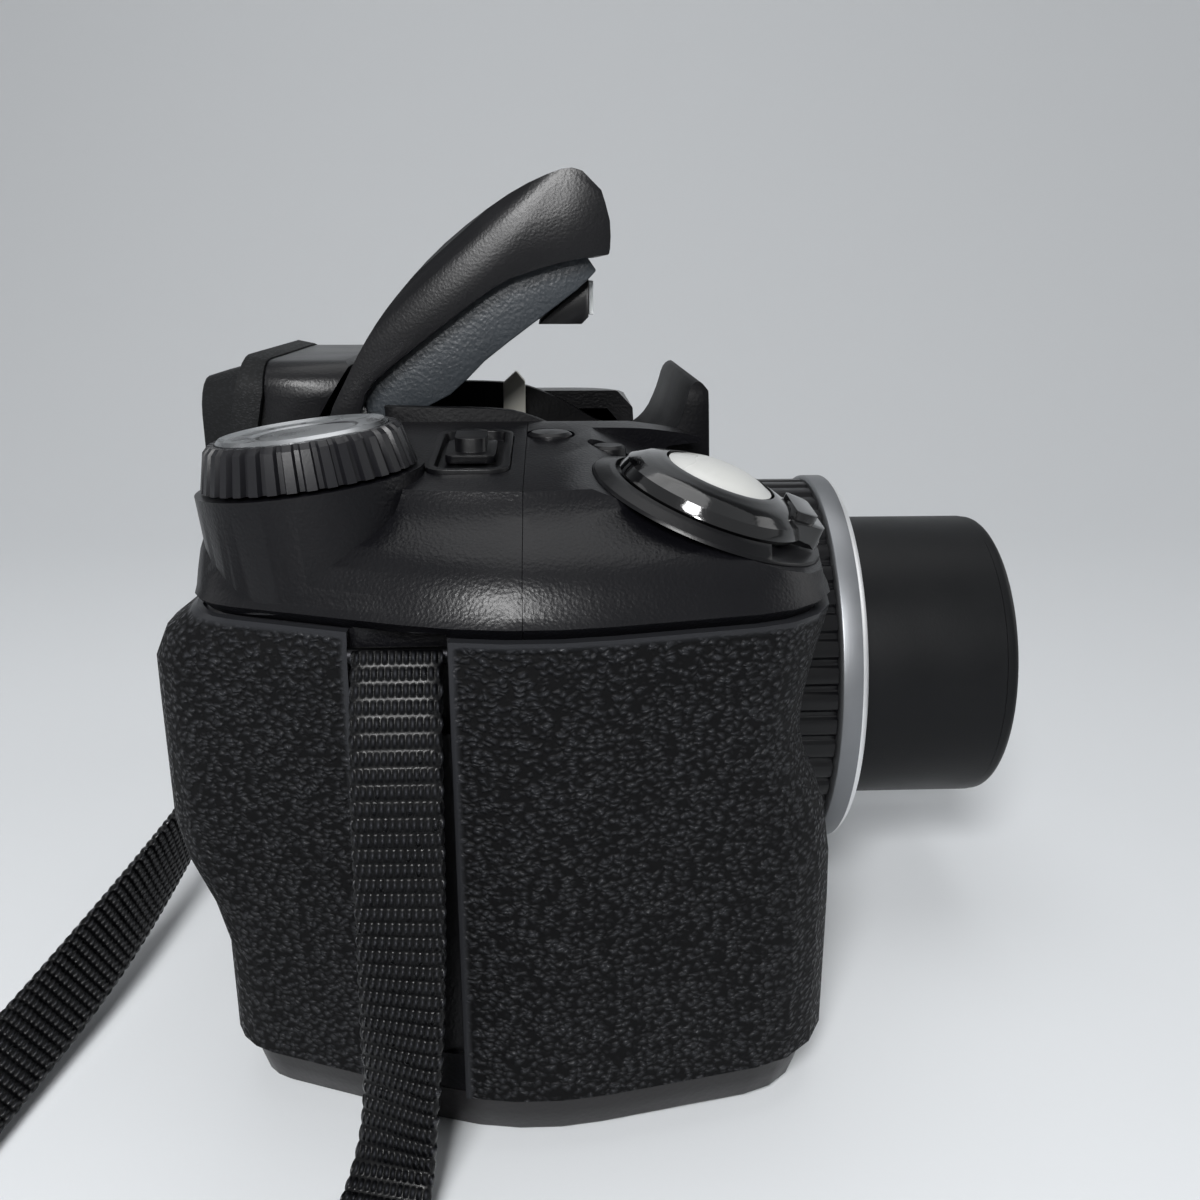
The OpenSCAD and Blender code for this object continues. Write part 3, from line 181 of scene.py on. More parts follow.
def turned_metal(name, dark, light, rough, middle=LENS_AXIS, tilt_deg=LENS_TURN, metal=1.0, bevel=None, ticks=0):
    """Lathe-turned metal, satin plated: fine rings round its axis draw the highlight out.

    Turning marks are about 0.05 mm apart, and are drawn a little over twice as coarse so that they show.
    Bevel is a place along the axis, in millimetres, past which the edge is cut bright. Ticks are plain marks round the
    edge of a control disc, printed in dark ink."""
    material, add, place = new_material(name)
    turn = [math.radians(a) for a in tilt_deg]
    local = add("ShaderNodeMapping", {"vector_type": "TEXTURE"},
                {"Vector": place, "Location": [m * MM for m in middle], "Rotation": turn}, "Vector")
    parts = add("ShaderNodeSeparateXYZ", None, {"Vector": local})
    x, y, z = (parts.outputs[axis] for axis in "XYZ")
    flat = add("ShaderNodeCombineXYZ", None, {"X": x, "Y": y}, "Vector")
    radius = add("ShaderNodeVectorMath", {"operation": "LENGTH"}, {0: flat}, "Value")
    along = add("ShaderNodeMath", {"operation": "ADD"}, {0: radius, 1: z}, 0)
    rings = add("ShaderNodeTexNoise", {"noise_dimensions": "1D"}, {"W": along, "Scale": per_mm(0.12), "Detail": 2.0},
                "Fac")
    normal = add("ShaderNodeBump", None, {"Height": rings, "Distance": 0.006 * MM, "Strength": 0.5}, "Normal")
    look = drift(add, place, dark, light, 5, rough)
    if bevel is not None:
        past = add("ShaderNodeMath", {"operation": "GREATER_THAN"}, {0: z, 1: bevel * MM}, 0)
        look["Base Color"] = add("ShaderNodeMix", {"data_type": "RGBA"},
                                 {0: past, 6: look["Base Color"], 7: linear("#e6e7e8")}, 2)
    if ticks:
        angle = add("ShaderNodeMath", {"operation": "ARCTAN2"}, {0: y, 1: x}, 0)
        turned = add("ShaderNodeMath", {"operation": "MULTIPLY"}, {0: angle, 1: ticks / math.tau}, 0)
        share = add("ShaderNodeMath", {"operation": "FRACT"}, {0: turned}, 0)
        in_tick = add("ShaderNodeMath", {"operation": "COMPARE"}, {0: share, 1: 0.5, 2: 0.07}, 0)
        in_row = add("ShaderNodeMath", {"operation": "COMPARE"},
                     {0: radius, 1: TICK_ROW * MM, 2: TICK_HALF * MM}, 0)
        row = add("ShaderNodeMath", {"operation": "MULTIPLY"}, {0: in_tick, 1: in_row}, 0)
        groove = add("ShaderNodeMath", {"operation": "COMPARE"},
                     {0: radius, 1: DIAL_GROOVE * MM, 2: GROOVE_HALF * MM}, 0)
        ink = add("ShaderNodeMath", {"operation": "MAXIMUM"}, {0: row, 1: groove}, 0)
        look["Base Color"] = add("ShaderNodeMix", {"data_type": "RGBA"},
                                 {0: ink, 6: look["Base Color"], 7: linear("#1c1d1f")}, 2)
        look["Metallic"] = add("ShaderNodeMath", {"operation": "MULTIPLY_ADD"}, {0: ink, 1: -metal, 2: metal}, 0)
    else:
        look["Metallic"] = metal
    close_material(add, {**look, "Normal": normal})
    return material


def coated_glass(name, tint, rough):
    """Multi-coated optical glass: dark inside, with a faint coloured sheen from its coating."""
    material, add, place = new_material(name)
    wave = add("ShaderNodeTexNoise", None, {"Vector": place, "Scale": per_mm(20)}, "Fac")
    normal = add("ShaderNodeBump", None, {"Height": wave, "Distance": 0.004 * MM}, "Normal")
    close_material(add, {"Base Color": linear(tint), "Roughness": rough, "Normal": normal, "IOR": 1.62,
                         "Coat Weight": 1.0, "Coat Roughness": 0.02, "Coat Tint": linear("#8f7fd0")})
    return material


def woven_nylon(name, dark, light, row_mm, yarn_mm, depth_mm):
    """Flat nylon webbing: rows of small beads of warp loops, every other row shifted; painted highlight on each bead,
    painted shade between.
    """
    material, add, place = new_material(name)
    parts = add("ShaderNodeSeparateXYZ", None, {"Vector": add("ShaderNodeUVMap", {"uv_map": "weave"}, out="UV")})
    row = add("ShaderNodeMath", {"operation": "DIVIDE"}, {0: parts.outputs["X"], 1: row_mm * MM}, 0)
    row_number = add("ShaderNodeMath", {"operation": "FLOOR"}, {0: row}, 0)
    across = add("ShaderNodeMath", {"operation": "DIVIDE"}, {0: parts.outputs["Y"], 1: yarn_mm * MM}, 0)
    yarn = add("ShaderNodeMath", {"operation": "MULTIPLY_ADD"}, {0: row_number, 1: 0.5, 2: across}, 0)
    yarn_number = add("ShaderNodeMath", {"operation": "FLOOR"}, {0: yarn}, 0)
    loops = []
    for value in (row, yarn):
        share = add("ShaderNodeMath", {"operation": "PINGPONG"}, {0: value, 1: 0.5}, 0)
        loops.append(add("ShaderNodeMapRange", {"interpolation_type": "SMOOTHSTEP"},
                         {"Value": share, "From Min": 0.02, "From Max": 0.5}, "Result"))
    bead = add("ShaderNodeMath", {"operation": "MULTIPLY"}, {0: loops[0], 1: loops[1]}, 0)
    which = add("ShaderNodeCombineXYZ", None, {"X": row_number, "Y": yarn_number}, "Vector")
    chance = add("ShaderNodeTexWhiteNoise", {"noise_dimensions": "2D"}, {"Vector": which}, "Value")
    fuzz = add("ShaderNodeTexNoise", None, {"Vector": place, "Scale": per_mm(0.18), "Detail": 3.0}, "Fac")
    loose = add("ShaderNodeMath", {"operation": "MULTIPLY_ADD"}, {0: fuzz, 1: 0.05, 2: bead}, 0)
    height = add("ShaderNodeMath", {"operation": "MULTIPLY_ADD"}, {0: chance, 1: 0.3, 2: loose}, 0)
    # Painted highlight on the bead tops and painted shade in the gaps between them; the chance per bead varies their
    # tone at random
    shade = add("ShaderNodeMath", {"operation": "MULTIPLY"}, {0: height, 1: bead}, 0)
    colour = add("ShaderNodeMix", {"data_type": "RGBA"}, {0: shade, 6: linear(dark), 7: linear(light)}, 2)
    gloss = add("ShaderNodeMapRange", None, {"Value": chance, "To Min": 0.26, "To Max": 0.42}, "Result")
    normal = add("ShaderNodeBump", None, {"Height": height, "Distance": depth_mm * MM}, "Normal")
    close_material(add, {"Base Color": colour, "Roughness": gloss, "Normal": normal, "IOR": 1.53,
                         "Specular IOR Level": 0.2})
    return material


def matte_paper(name, colour):
    """Uncoated backdrop paper: pale and matte, with no highlight. Its tooth is drawn coarser than it is, to show."""
    material, add, place = new_material(name)
    tooth = add("ShaderNodeTexNoise", None, {"Vector": place, "Scale": per_mm(0.6)}, "Fac")
    normal = add("ShaderNodeBump", None, {"Height": tooth, "Distance": 0.01 * MM}, "Normal")
    close_material(add, {"Base Color": colour, "Roughness": 0.8, "IOR": 1.4, "Normal": normal})
    return material


def soft_edges(piece, angle_deg, bevel_mm):
    """Joins split corners, rounds hard edges a little and shades the rest smooth."""
    weld = piece.modifiers.new("join corners", "WELD")
    weld.merge_threshold = 2e-6
    if bevel_mm:
        bevel = piece.modifiers.new("rounded edges", "BEVEL")
        bevel.width = bevel_mm * MM
        bevel.segments = 2
        bevel.limit_method = "ANGLE"
        bevel.angle_limit = math.radians(angle_deg + 6)
        bevel.use_clamp_overlap = True
    shade = piece.modifiers.new("smooth shading", "NODES")
    shade.node_group = smooth_group(angle_deg)


def smooth_group(angle_deg):
    """Node group that shades faces smooth across edges flatter than an angle."""
    name = f"smooth under {angle_deg:g} degrees"
    group = bpy.data.node_groups.get(name)
    if group:
        return group
    group = bpy.data.node_groups.new(name, "GeometryNodeTree")
    group.interface.new_socket("Geometry", in_out="INPUT", socket_type="NodeSocketGeometry")
    group.interface.new_socket("Geometry", in_out="OUTPUT", socket_type="NodeSocketGeometry")
    source = node(group, "NodeGroupInput", out="Geometry")
    faces = node(group, "GeometryNodeSetShadeSmooth", {"domain": "FACE"}, {"Geometry": source}, "Geometry")
    angle = node(group, "GeometryNodeInputMeshEdgeAngle", out="Unsigned Angle")
    flat = node(group, "FunctionNodeCompare", {"data_type": "FLOAT", "operation": "LESS_THAN"},
                {"A": angle, "B": math.radians(angle_deg)}, "Result")
    edges = node(group, "GeometryNodeSetShadeSmooth", {"domain": "EDGE"}, {"Geometry": faces, "Shade Smooth": flat},
                 "Geometry")
    node(group, "NodeGroupOutput", None, {"Geometry": edges})
    return group


# Pieces inside the covers are shaded smooth up to this angle
INNER_ANGLE = 32


def dress(names, material, angle_deg=30, bevel_mm=0.0):
    """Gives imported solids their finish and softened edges."""
    for name in names.split():
        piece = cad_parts[name]
        mesh = piece.data
        mesh.materials.clear()
        mesh.materials.append(material)
        if "custom_normal" in mesh.attributes:
            mesh.attributes.remove(mesh.attributes["custom_normal"])
        soft_edges(piece, angle_deg, bevel_mm)


def finish(name):
    """The material of that name, which the first operator that needs it makes."""
    return bpy.data.materials.get(name) or FINISHES[name](name)


FINISHES = {
    # Moulded ABS of the covers: near black, with a soft gloss that the grain breaks up
    "grained ABS": partial(grained_abs, dark="#050508", light="#09090c", rough=(0.3, 0.36), grain_mm=0.24,
                           depth_mm=0.02, specular=0.24),
    "deck ABS": partial(grained_abs, dark="#070709", light="#0c0c0f", rough=(0.28, 0.36), grain_mm=0.22,
                        depth_mm=0.012, specular=0.26),
    "hump ABS": partial(grained_abs, dark="#050507", light="#09090b", rough=(0.44, 0.52), grain_mm=0.3,
                        depth_mm=0.02, specular=0.08),
    "base ABS": partial(grained_abs, dark="#100e10", light="#171516", rough=(0.34, 0.44), grain_mm=0.4,
                        depth_mm=0.012),
    # Moulded ABS from polished tools: even black, from satin on the rings to a mirror on the zoom lever
    "smooth ABS": partial(smooth_plastic, dark="#060608", light="#0a0a0c", rough=(0.28, 0.36), specular=0.28),
    # The dial's black is a lighter copy of the smooth black, a painted highlight for the light on its knurl
    "dial ABS": partial(smooth_plastic, dark="#101013", light="#18181b", rough=(0.34, 0.42), specular=0.34),
    "gloss ABS": partial(smooth_plastic, dark="#040405", light="#070708", rough=(0.08, 0.14), coat=0.6),
    # Sprayed matte paint on the barrel: black with a broad, weak highlight along it
    "barrel paint": partial(grained_abs, dark="#050608", light="#08090b", rough=(0.4, 0.48), grain_mm=0.2,
                            depth_mm=0.006, specular=0.2),
    # Coarse moulded ABS inside the flash: blue grey, with a grain that shows from afar
    "grey frame ABS": partial(grained_abs, dark="#25292d", light="#363b40", rough=(0.36, 0.46), grain_mm=0.32,
                              depth_mm=0.045),
    # Moulded acetal of the latch hook: off-white and waxy
    "ivory acetal": partial(smooth_plastic, dark="#d6d4ca", light="#e2e0d6", rough=(0.4, 0.5)),
    # Moulded thermoplastic rubber: pebbled skins to hold, and a nearly plain eyecup
    # The lighter colour of each rubber is painted highlight on its pebble tops, and the darker one is painted shade in
    # its valleys
    "pebbled rubber": partial(pebbled_rubber, dark="#020203", light="#2a2b2e", rough=(0.3, 0.66), pebble_mm=0.75,
                              depth_mm=0.34, specular=0.13, rim=(SLOT_MID, SLOT_HALF, RUBBER_TOP)),
    "eyecup rubber": partial(pebbled_rubber, dark="#0f1011", light="#161719", rough=(0.55, 0.68), pebble_mm=0.4,
                             depth_mm=0.02, specular=0.17),
    # Turned and plated aluminium: grey satin with a bright cut edge, and the dial's disc with its printed ticks
    "satin aluminium": partial(turned_metal, dark="#747679", light="#818386", rough=(0.36, 0.44), metal=0.85,
                               bevel=RING_BEVEL),
    "dial aluminium": partial(turned_metal, dark="#9d9fa1", light="#b2b4b6", rough=(0.24, 0.34), middle=DIAL_MIDDLE,
                              tilt_deg=DIAL_TURN, ticks=12),
    # Turned steel, bare and blackened: hard, narrow highlights
    "steel": partial(turned_metal, dark="#9b9da0", light="#aeb0b2", rough=(0.24, 0.36)),
    "black steel": partial(turned_metal, dark="#1b1b1d", light="#262628", rough=(0.34, 0.46)),
    # Sprayed silver paint under lacquer on the shutter button: pale and even, with a soft sheen
    "silver paint": partial(smooth_plastic, dark="#b9bab8", light="#c8c9c6", rough=(0.26, 0.34), coat=0.2),
    "lens glass": partial(coated_glass, tint="#0d1020", rough=0.03),
    # Cast acrylic: clear, hard reflections over black, white and red
    "screen acrylic": partial(smooth_plastic, dark="#07080a", light="#0a0b0e", rough=(0.05, 0.09), coat=0.5),
    "lamp acrylic": partial(smooth_plastic, dark="#c3c7c8", light="#d4d8d9", rough=(0.14, 0.22), coat=0.4),
    "red acrylic": partial(smooth_plastic, dark="#4a0f0a", light="#5c150e", rough=(0.08, 0.14), coat=0.5),
    # Lacquered glass-fibre board and printed film round the cells: plain colours inside the covers
    "circuit board": partial(smooth_plastic, dark="#123c22", light="#1a4d2c", rough=(0.4, 0.5)),
    "cell wrap": partial(smooth_plastic, dark="#b08a2c", light="#c39a38", rough=(0.3, 0.4)),
    #     Woven tape and webbing: dull tape, and rows of beads with painted highlights on top and painted shade between
    "tie tape": partial(grained_abs, dark="#1a1a1c", light="#232326", rough=(0.7, 0.8), grain_mm=0.5, depth_mm=0.06),
    "webbing nylon": partial(woven_nylon, dark="#020203", light="#2a2b2f", row_mm=1.4, yarn_mm=0.6, depth_mm=0.4),
}

# Strap: points on its middle and the way its width lies, in millimetres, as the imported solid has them
LUG_Z = 49.6
STRAP_FLOOR = 4.3
RIGHT_ROUTE = [
    (-53.45, SLOT_MID, LUG_Z + 1, 0, 1, 0), (-56.4, SLOT_MID, 45, 0, 1, 0), (-58.2, SLOT_MID, 39, 0, 1, 0),
    (-58.6, 10.9, 32, 0, 1, 0), (-58.8, 11.1, 24, 0.1, 1, 0), (-59.2, 11.4, 16, 0.3, 1, 0),
    (-60, 11.8, 9, 0.55, 1, 0.1), (-62, 12.4, 4.2, 0.5, 1, 0.15), (-66, 13.4, 2.2, 0.3, 1, 0.2),
    (-71, 15, 3.2, 0.2, 1, 0.6), (-75, 17.8, 4.2, 0.2, 0.6, 1), (-78, 22, 4.4, 0, 0.2, 1),
    (-80.5, 29, STRAP_FLOOR, 0, 0, 1), (-84, 37, STRAP_FLOOR, 0, 0, 1), (-91, 45, STRAP_FLOOR, 0, 0, 1),
    (-101, 50.2, STRAP_FLOOR, 0, 0, 1), (-116, 51.8, STRAP_FLOOR, 0, 0, 1)]
LEFT_ROUTE = [
    (-118, 55.4, STRAP_FLOOR, 0, 0, 1), (-102, 56, STRAP_FLOOR, 0, 0, 1), (-86, 56.6, STRAP_FLOOR, 0, 0.1, 1),
    (-70, 56.4, 4.2, 0, 0.6, 1), (-58, 55.4, 4, 0, 1, 0.8), (-47, 53.6, 4.4, 0, 1, 0.9),
    (-36, 51.2, 5.8, 0, 0.8, 1), (-24, 48.8, 7.8, 0, 0.4, 1), (-10, 47, 9.8, 0, 0.1, 1), (6, 46.4, 11, 0, 0, 1),
    (22, 45.6, 12.2, 0, -0.1, 1), (36, 43.4, 13.8, 0, -0.2, 1), (47, 39.2, 16.4, -0.2, -0.3, 1),
    (54.5, 32.6, 20.4, -0.3, 0.1, 1), (58.6, 25, 26.8, -0.1, 0.6, 0.8), (59.4, 18, 34.2, 0, 1, 0.5),
    (58.4, 12.6, 41, 0, 1, 0.1), (56.4, SLOT_MID, 46, 0, 1, 0), (53.95, SLOT_MID, LUG_Z + 1, 0, 1, 0)]
COIL_MID = (-134, 6)
COIL_CORE = 40
COIL_PITCH = 6
# How the strap is cut up: steps between knots and in each rib, points round it, and which steps mark its path
KNOT_STEPS = 16
RIB_STEPS = 4
ROUND_POINTS = 20
# Its edges and faces are rounded by these powers, and draw in by these shares between the ribs
EDGE_POWER = 0.35
FACE_POWER = 0.6
EDGE_DIP = 0.035
FACE_DIP = 0.2
# Tape round the roll: half its width, its thickness, its height off the floor and its corner, in millimetres
TIE_HALF = 3.5
TIE_THICK = 0.24
TIE_LIFT = 0.03
TIE_CORNER = 0.9


def coil_route():
    """The spare strap: in along one arm, across the middle in two half circles, and out along the other."""
    def arm(turn, half):
        radius = COIL_CORE + COIL_PITCH * turn / 360
        angle = math.radians(turn + half)
        return (COIL_MID[0] + radius * math.sin(angle), COIL_MID[1] + radius * math.cos(angle), STRAP_FLOOR, 0, 0, 1)

    def middle(side, turn):
        angle = math.radians(turn)
        return (COIL_MID[0] - side * COIL_CORE / 2 * math.sin(angle),
                COIL_MID[1] + COIL_CORE / 2 * (side - math.cos(angle)), STRAP_FLOOR, 0, 0, 1)

    inward = [arm(a, 180) for a in range(540, -1, -15)]
    across = [middle(-1, a) for a in range(15, 181, 15)] + [middle(1, a) for a in range(15, 166, 15)]
    return inward + across + [arm(a, 0) for a in range(0, 361, 15)]


def strap_line(step):
    """Points every step along the strap, from the right lug to the left one, with the direction of its width."""
    knots = [Vector(p) for p in RIGHT_ROUTE + coil_route()[::-1] + LEFT_ROUTE]
    dense = []
    for i in range(len(knots) - 1):
        a, b, c, d = (knots[max(i - 1, 0)], knots[i], knots[i + 1], knots[min(i + 2, len(knots) - 1)])
        for j in range(KNOT_STEPS):
            t = j / KNOT_STEPS
            dense.append(0.5 * (2 * b + (c - a) * t + (2 * a - 5 * b + 4 * c - d) * t ** 2
                                + (3 * b - a - 3 * c + d) * t ** 3))
    dense.append(knots[-1])
    return walk(dense, step)


def walk(dense, step):
    """The same line cut into equal steps."""
    points, left = [dense[0]], step
    for a, b in zip(dense, dense[1:]):
        span = (Vector(b[:3]) - Vector(a[:3])).length
        done = 0.0
        while span - done >= left:
            done += left
            points.append(a.lerp(b, done / span))
            left = step
        left -= span - done
    return points


def rounded_loop(y0, z0, y1, z1, radius, steps):
    """Corner-rounded rectangle as a closed row of points."""
    corners = [(y1 - radius, z0 + radius, -90), (y1 - radius, z1 - radius, 0), (y0 + radius, z1 - radius, 90),
               (y0 + radius, z0 + radius, 180)]
    return [(y + radius * math.cos(a), z + radius * math.sin(a)) for y, z, first in corners
            for a in (math.radians(first + 90 * k / steps) for k in range(steps + 1))]


def mesh_piece(name, points, faces, material):
    """A new smooth-shaded mesh object."""
    mesh = bpy.data.meshes.new(name)
    mesh.from_pydata(points, [], faces)
    mesh.materials.append(material)
    for polygon in mesh.polygons:
        polygon.use_smooth = True
    piece = bpy.data.objects.new(name, mesh)
    bpy.context.scene.collection.objects.link(piece)
    return piece


# Lamps of the studio: name, place, what each points at, size in metres and watts
LAMPS = (
    ("front light", (-0.32, 0.03, 0.17), (0, 0, 0.035), 0.04, 0.35),
    ("key light", (-0.4, 0.08, 0.34), (0, 0, 0.03), 0.15, 2.2),
    ("top soft box", (0.2, 0.0, 0.95), (0.26, 0, 0), 0.8, 2.6),
    ("rear side card", (0.1, 0.9, 0.45), (0.15, 0, 0.04), 0.6, 0.6),
    ("lens side card", (0.12, -0.9, 0.4), (0.1, 0, 0.04), 0.7, 1.5),
)
# Paper sweep, in metres: from its front edge along the floor, up in a quarter circle and on as a wall
PAPER_FRONT = -0.27
PAPER_BEND = 0.2
PAPER_RADIUS = 0.4
PAPER_TOP = 1.6
PAPER_HALF = 2.5


class StageSizes(bpy.types.PropertyGroup):
    """Camera and light of the studio stage."""
    eye: bpy.props.FloatVectorProperty(name="Eye", description="Place of the camera that takes the picture",
                                       default=(-0.1448, -0.0026, 0.082), subtype="TRANSLATION", unit="LENGTH")
    pitch: bpy.props.FloatProperty(name="Pitch", description="How far the picture looks down",
                                   default=math.radians(16.5), subtype="ANGLE", unit="ROTATION")
    yaw: bpy.props.FloatProperty(name="Yaw", description="How far the picture turns to the lens side",
                                 default=math.radians(2.5), subtype="ANGLE", unit="ROTATION")
    lens: bpy.props.FloatProperty(name="Lens", description="Focal length on a 36 mm wide picture", default=33.6,
                                  subtype="DISTANCE_CAMERA")
    floor: bpy.props.FloatVectorProperty(name="Floor", description="Colour of the floor and backdrop", size=4,
                                         default=linear("#d6d9dc"), subtype="COLOR")


class StrapSizes(bpy.types.PropertyGroup):
    """Sizes of the neck strap."""
    width: bpy.props.FloatProperty(name="Width", description="Width of the webbing", default=8 * MM, unit="LENGTH")
    thickness: bpy.props.FloatProperty(name="Thickness", description="Thickness of the webbing", default=1.5 * MM,
                                       unit="LENGTH")
    rib: bpy.props.FloatProperty(name="Rib", description="Distance between the cross ribs", default=1.4 * MM,
                                 unit="LENGTH")


class CAMERA_OT_stage(bpy.types.Operator):
    """Sets up the floor, the soft light and the camera"""
    bl_idname = "bridge_camera.stage"
    bl_label = "Stage"

    def execute(self, context):
        scene = context.scene
        sizes = scene.stage_sizes
        scene.view_settings.view_transform = "Standard"
        lens = bpy.data.cameras.new("picture camera")
        lens.sensor_width = 36
        lens.lens = sizes.lens
        lens.clip_start = 0.005
        eye = bpy.data.objects.new("picture camera", lens)
        eye.location = sizes.eye
        eye.rotation_euler = (math.pi / 2 - sizes.pitch, 0, -math.pi / 2 - sizes.yaw)
        scene.collection.objects.link(eye)
        scene.camera = eye
        self.floor(sizes)
        for lamp in LAMPS:
            self.lamp(*lamp)
        world = bpy.data.worlds.new("studio")
        world.use_nodes = True
        scene.world = world
        tree = world.node_tree
        tree.nodes.clear()
        add = partial(node, tree)
        rays = add("ShaderNodeLightPath")
        seen = rays.outputs["Is Camera Ray"]
        for kind in ("Is Glossy Ray", "Is Transmission Ray"):
            seen = add("ShaderNodeMath", {"operation": "MAXIMUM"}, {0: seen, 1: rays.outputs[kind]}, 0)
        soft = add("ShaderNodeBackground", None, {"Color": linear("#eef0f2"), "Strength": 0.08}, 0)
        pale = add("ShaderNodeBackground", None, {"Color": linear("#b4b6b8")}, 0)
        both = add("ShaderNodeMixShader", None, {0: seen, 1: soft, 2: pale}, 0)
        add("ShaderNodeOutputWorld", None, {"Surface": both})
        return {"FINISHED"}

    def floor(self, sizes):
        """The paper sweep, as one strip of faces."""
        material = matte_paper("matte paper", list(sizes.floor))
        profile = [(PAPER_FRONT, 0.0), (PAPER_BEND, 0.0)]
        profile += [(PAPER_BEND + PAPER_RADIUS * math.sin(a), PAPER_RADIUS - PAPER_RADIUS * math.cos(a)) for a in
                    (math.radians(d) for d in range(5, 91, 5))]
        profile += [(PAPER_BEND + PAPER_RADIUS, PAPER_TOP)]
        points = [(x, y, z) for y in (-PAPER_HALF, PAPER_HALF) for x, z in profile]
        n = len(profile)
        floor = mesh_piece("paper sweep", points, [(i, i + 1, n + i + 1, n + i) for i in range(n - 1)], material)

    def lamp(self, name, place, target, size, watts):
        """A round soft lamp that only its light shows."""
        light = bpy.data.lights.new(name, "AREA")
        light.shape = "DISK"
        light.size = size
        light.energy = watts
        lamp = bpy.data.objects.new(name, light)
        lamp.visible_camera = False
        lamp.location = place
        lamp.rotation_euler = (Vector(target) - Vector(place)).to_track_quat("-Z", "Y").to_euler()
        bpy.context.scene.collection.objects.link(lamp)


class CAMERA_OT_strap(bpy.types.Operator):
    """Weaves the neck strap along its route, from lug to lug"""
    bl_idname = "bridge_camera.strap"
    bl_label = "Neck strap"

    def execute(self, context):
        sizes = context.scene.strap_sizes
        rib = sizes.rib / MM
        line = strap_line(rib / RIB_STEPS)
        half_w, half_t = sizes.width / MM / 2, sizes.thickness / MM / 2
        turns = [math.tau * k / ROUND_POINTS for k in range(ROUND_POINTS)]
        section = [(math.cos(a), math.sin(a)) for a in turns]
        points, weave = [], []
        count = len(line)
        for i, knot in enumerate(line):
            middle = Vector(knot[:3])
            along = (Vector(line[min(i + 1, count - 1)][:3]) - Vector(line[max(i - 1, 0)][:3])).normalized()
            wide = Vector(knot[3:])
            wide = (wide - along * wide.dot(along)).normalized()
            thick = along.cross(wide)
            swell = abs(math.sin(math.pi * i / RIB_STEPS))
            for c, s in section:
                x = math.copysign(abs(c) ** EDGE_POWER, c) * half_w * (1 - EDGE_DIP + EDGE_DIP * swell)
                y = math.copysign(abs(s) ** FACE_POWER, s) * half_t * (1 - FACE_DIP + FACE_DIP * swell)
                points.append((middle + wide * x + thick * y) * MM)
                weave.append((i * rib / RIB_STEPS * MM, x * MM))
        n = len(section)
        faces = [(i * n + j, i * n + (j + 1) % n, (i + 1) * n + (j + 1) % n, (i + 1) * n + j)
                 for i in range(count - 1) for j in range(n)]
        faces += [tuple(range(n - 1, -1, -1)), tuple((count - 1) * n + j for j in range(n))]
        strap = mesh_piece("neck_strap", points, faces, finish("webbing nylon"))
        layer = strap.data.uv_layers.new(name="weave")
        for loop in strap.data.loops:
            layer.data[loop.index].uv = weave[loop.vertex_index]
        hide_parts("strap_run", "strap_coil")
        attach(strap, "body")
        tie = self.tie()
        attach(tie, "body")
        return {"FINISHED"}

    def tie(self):
        """A flat loop of tape, 7 mm wide, round the turns of the roll on its side away from the camera's rear."""
        near = COIL_MID[1] - COIL_CORE + 2.2
        far = COIL_MID[1] - COIL_CORE - 1.5 * COIL_PITCH - 1.2
        top = 2 * STRAP_FLOOR
        loop = rounded_loop(far, TIE_LIFT, near, top, TIE_CORNER, 5)
        inner = rounded_loop(far + TIE_THICK, TIE_LIFT + TIE_THICK, near - TIE_THICK, top - TIE_THICK,
                             TIE_CORNER - TIE_THICK, 5)
        points, faces = [], []
        n = len(loop)
        for row in (loop, inner):
            for x in (-TIE_HALF, TIE_HALF):
                points += [((COIL_MID[0] + x) * MM, y * MM, z * MM) for y, z in row]
        for i in range(n):
            j = (i + 1) % n
            faces += [(i, j, n + j, n + i), (2 * n + j, 2 * n + i, 3 * n + i, 3 * n + j),
                      (j, i, 2 * n + i, 2 * n + j), (n + i, n + j, 3 * n + j, 3 * n + i)]
        return mesh_piece("strap_tie", points, faces, finish("tie tape"))


class CAMERA_OT_covers(bpy.types.Operator):
    """Finishes the covers, the hump and the base"""
    bl_idname = "bridge_camera.covers"
    bl_label = "Covers"

    def execute(self, context):
        dress("front_cover rear_cover", finish("grained ABS"))
        dress("top_hump", finish("hump ABS"), bevel_mm=0.2)
        dress("base_plate", finish("base ABS"))
        dress("tripod_bush base_screws", finish("steel"), angle_deg=35)
        dress("lug_bar_right lug_bar_left", finish("black steel"), angle_deg=35)
        return {"FINISHED"}


class CAMERA_OT_rubber(bpy.types.Operator):
    """Finishes the grip and thumb rubbers"""
    bl_idname = "bridge_camera.rubber"
    bl_label = "Rubber skins"

    def execute(self, context):
        dress("grip_rubber thumb_rubber", finish("pebbled rubber"))
        return {"FINISHED"}


class CAMERA_OT_lens(bpy.types.Operator):
    """Finishes the lens rings, barrels and glass"""
    bl_idname = "bridge_camera.lens"
    bl_label = "Lens"

    def execute(self, context):
        dress("ribbed_ring", finish("smooth ABS"), bevel_mm=0.15)
        dress("silver_ring", finish("satin aluminium"), angle_deg=25, bevel_mm=0.12)
        dress("zoom_barrel barrel_bezel", finish("barrel paint"), angle_deg=25)
        dress("lens_tube inner_barrel trim_ring", finish("smooth ABS"), angle_deg=25)
        dress("front_lens rear_lens_group", finish("lens glass"))
        return {"FINISHED"}


class CAMERA_OT_flash(bpy.types.Operator):
    """Finishes the pop-up flash"""
    bl_idname = "bridge_camera.flash"
    bl_label = "Flash"

    def execute(self, context):
        dress("flash_lid", finish("deck ABS"), bevel_mm=0.3)
        dress("flash_frame", finish("grey frame ABS"), bevel_mm=0.2)
        dress("flash_reflector", finish("smooth ABS"), bevel_mm=0.15)
        dress("flash_window", finish("lamp acrylic"), bevel_mm=0.1)
        dress("flash_latch", finish("ivory acetal"), bevel_mm=0.2)
        dress("flash_hinge_pin", finish("steel"))
        return {"FINISHED"}


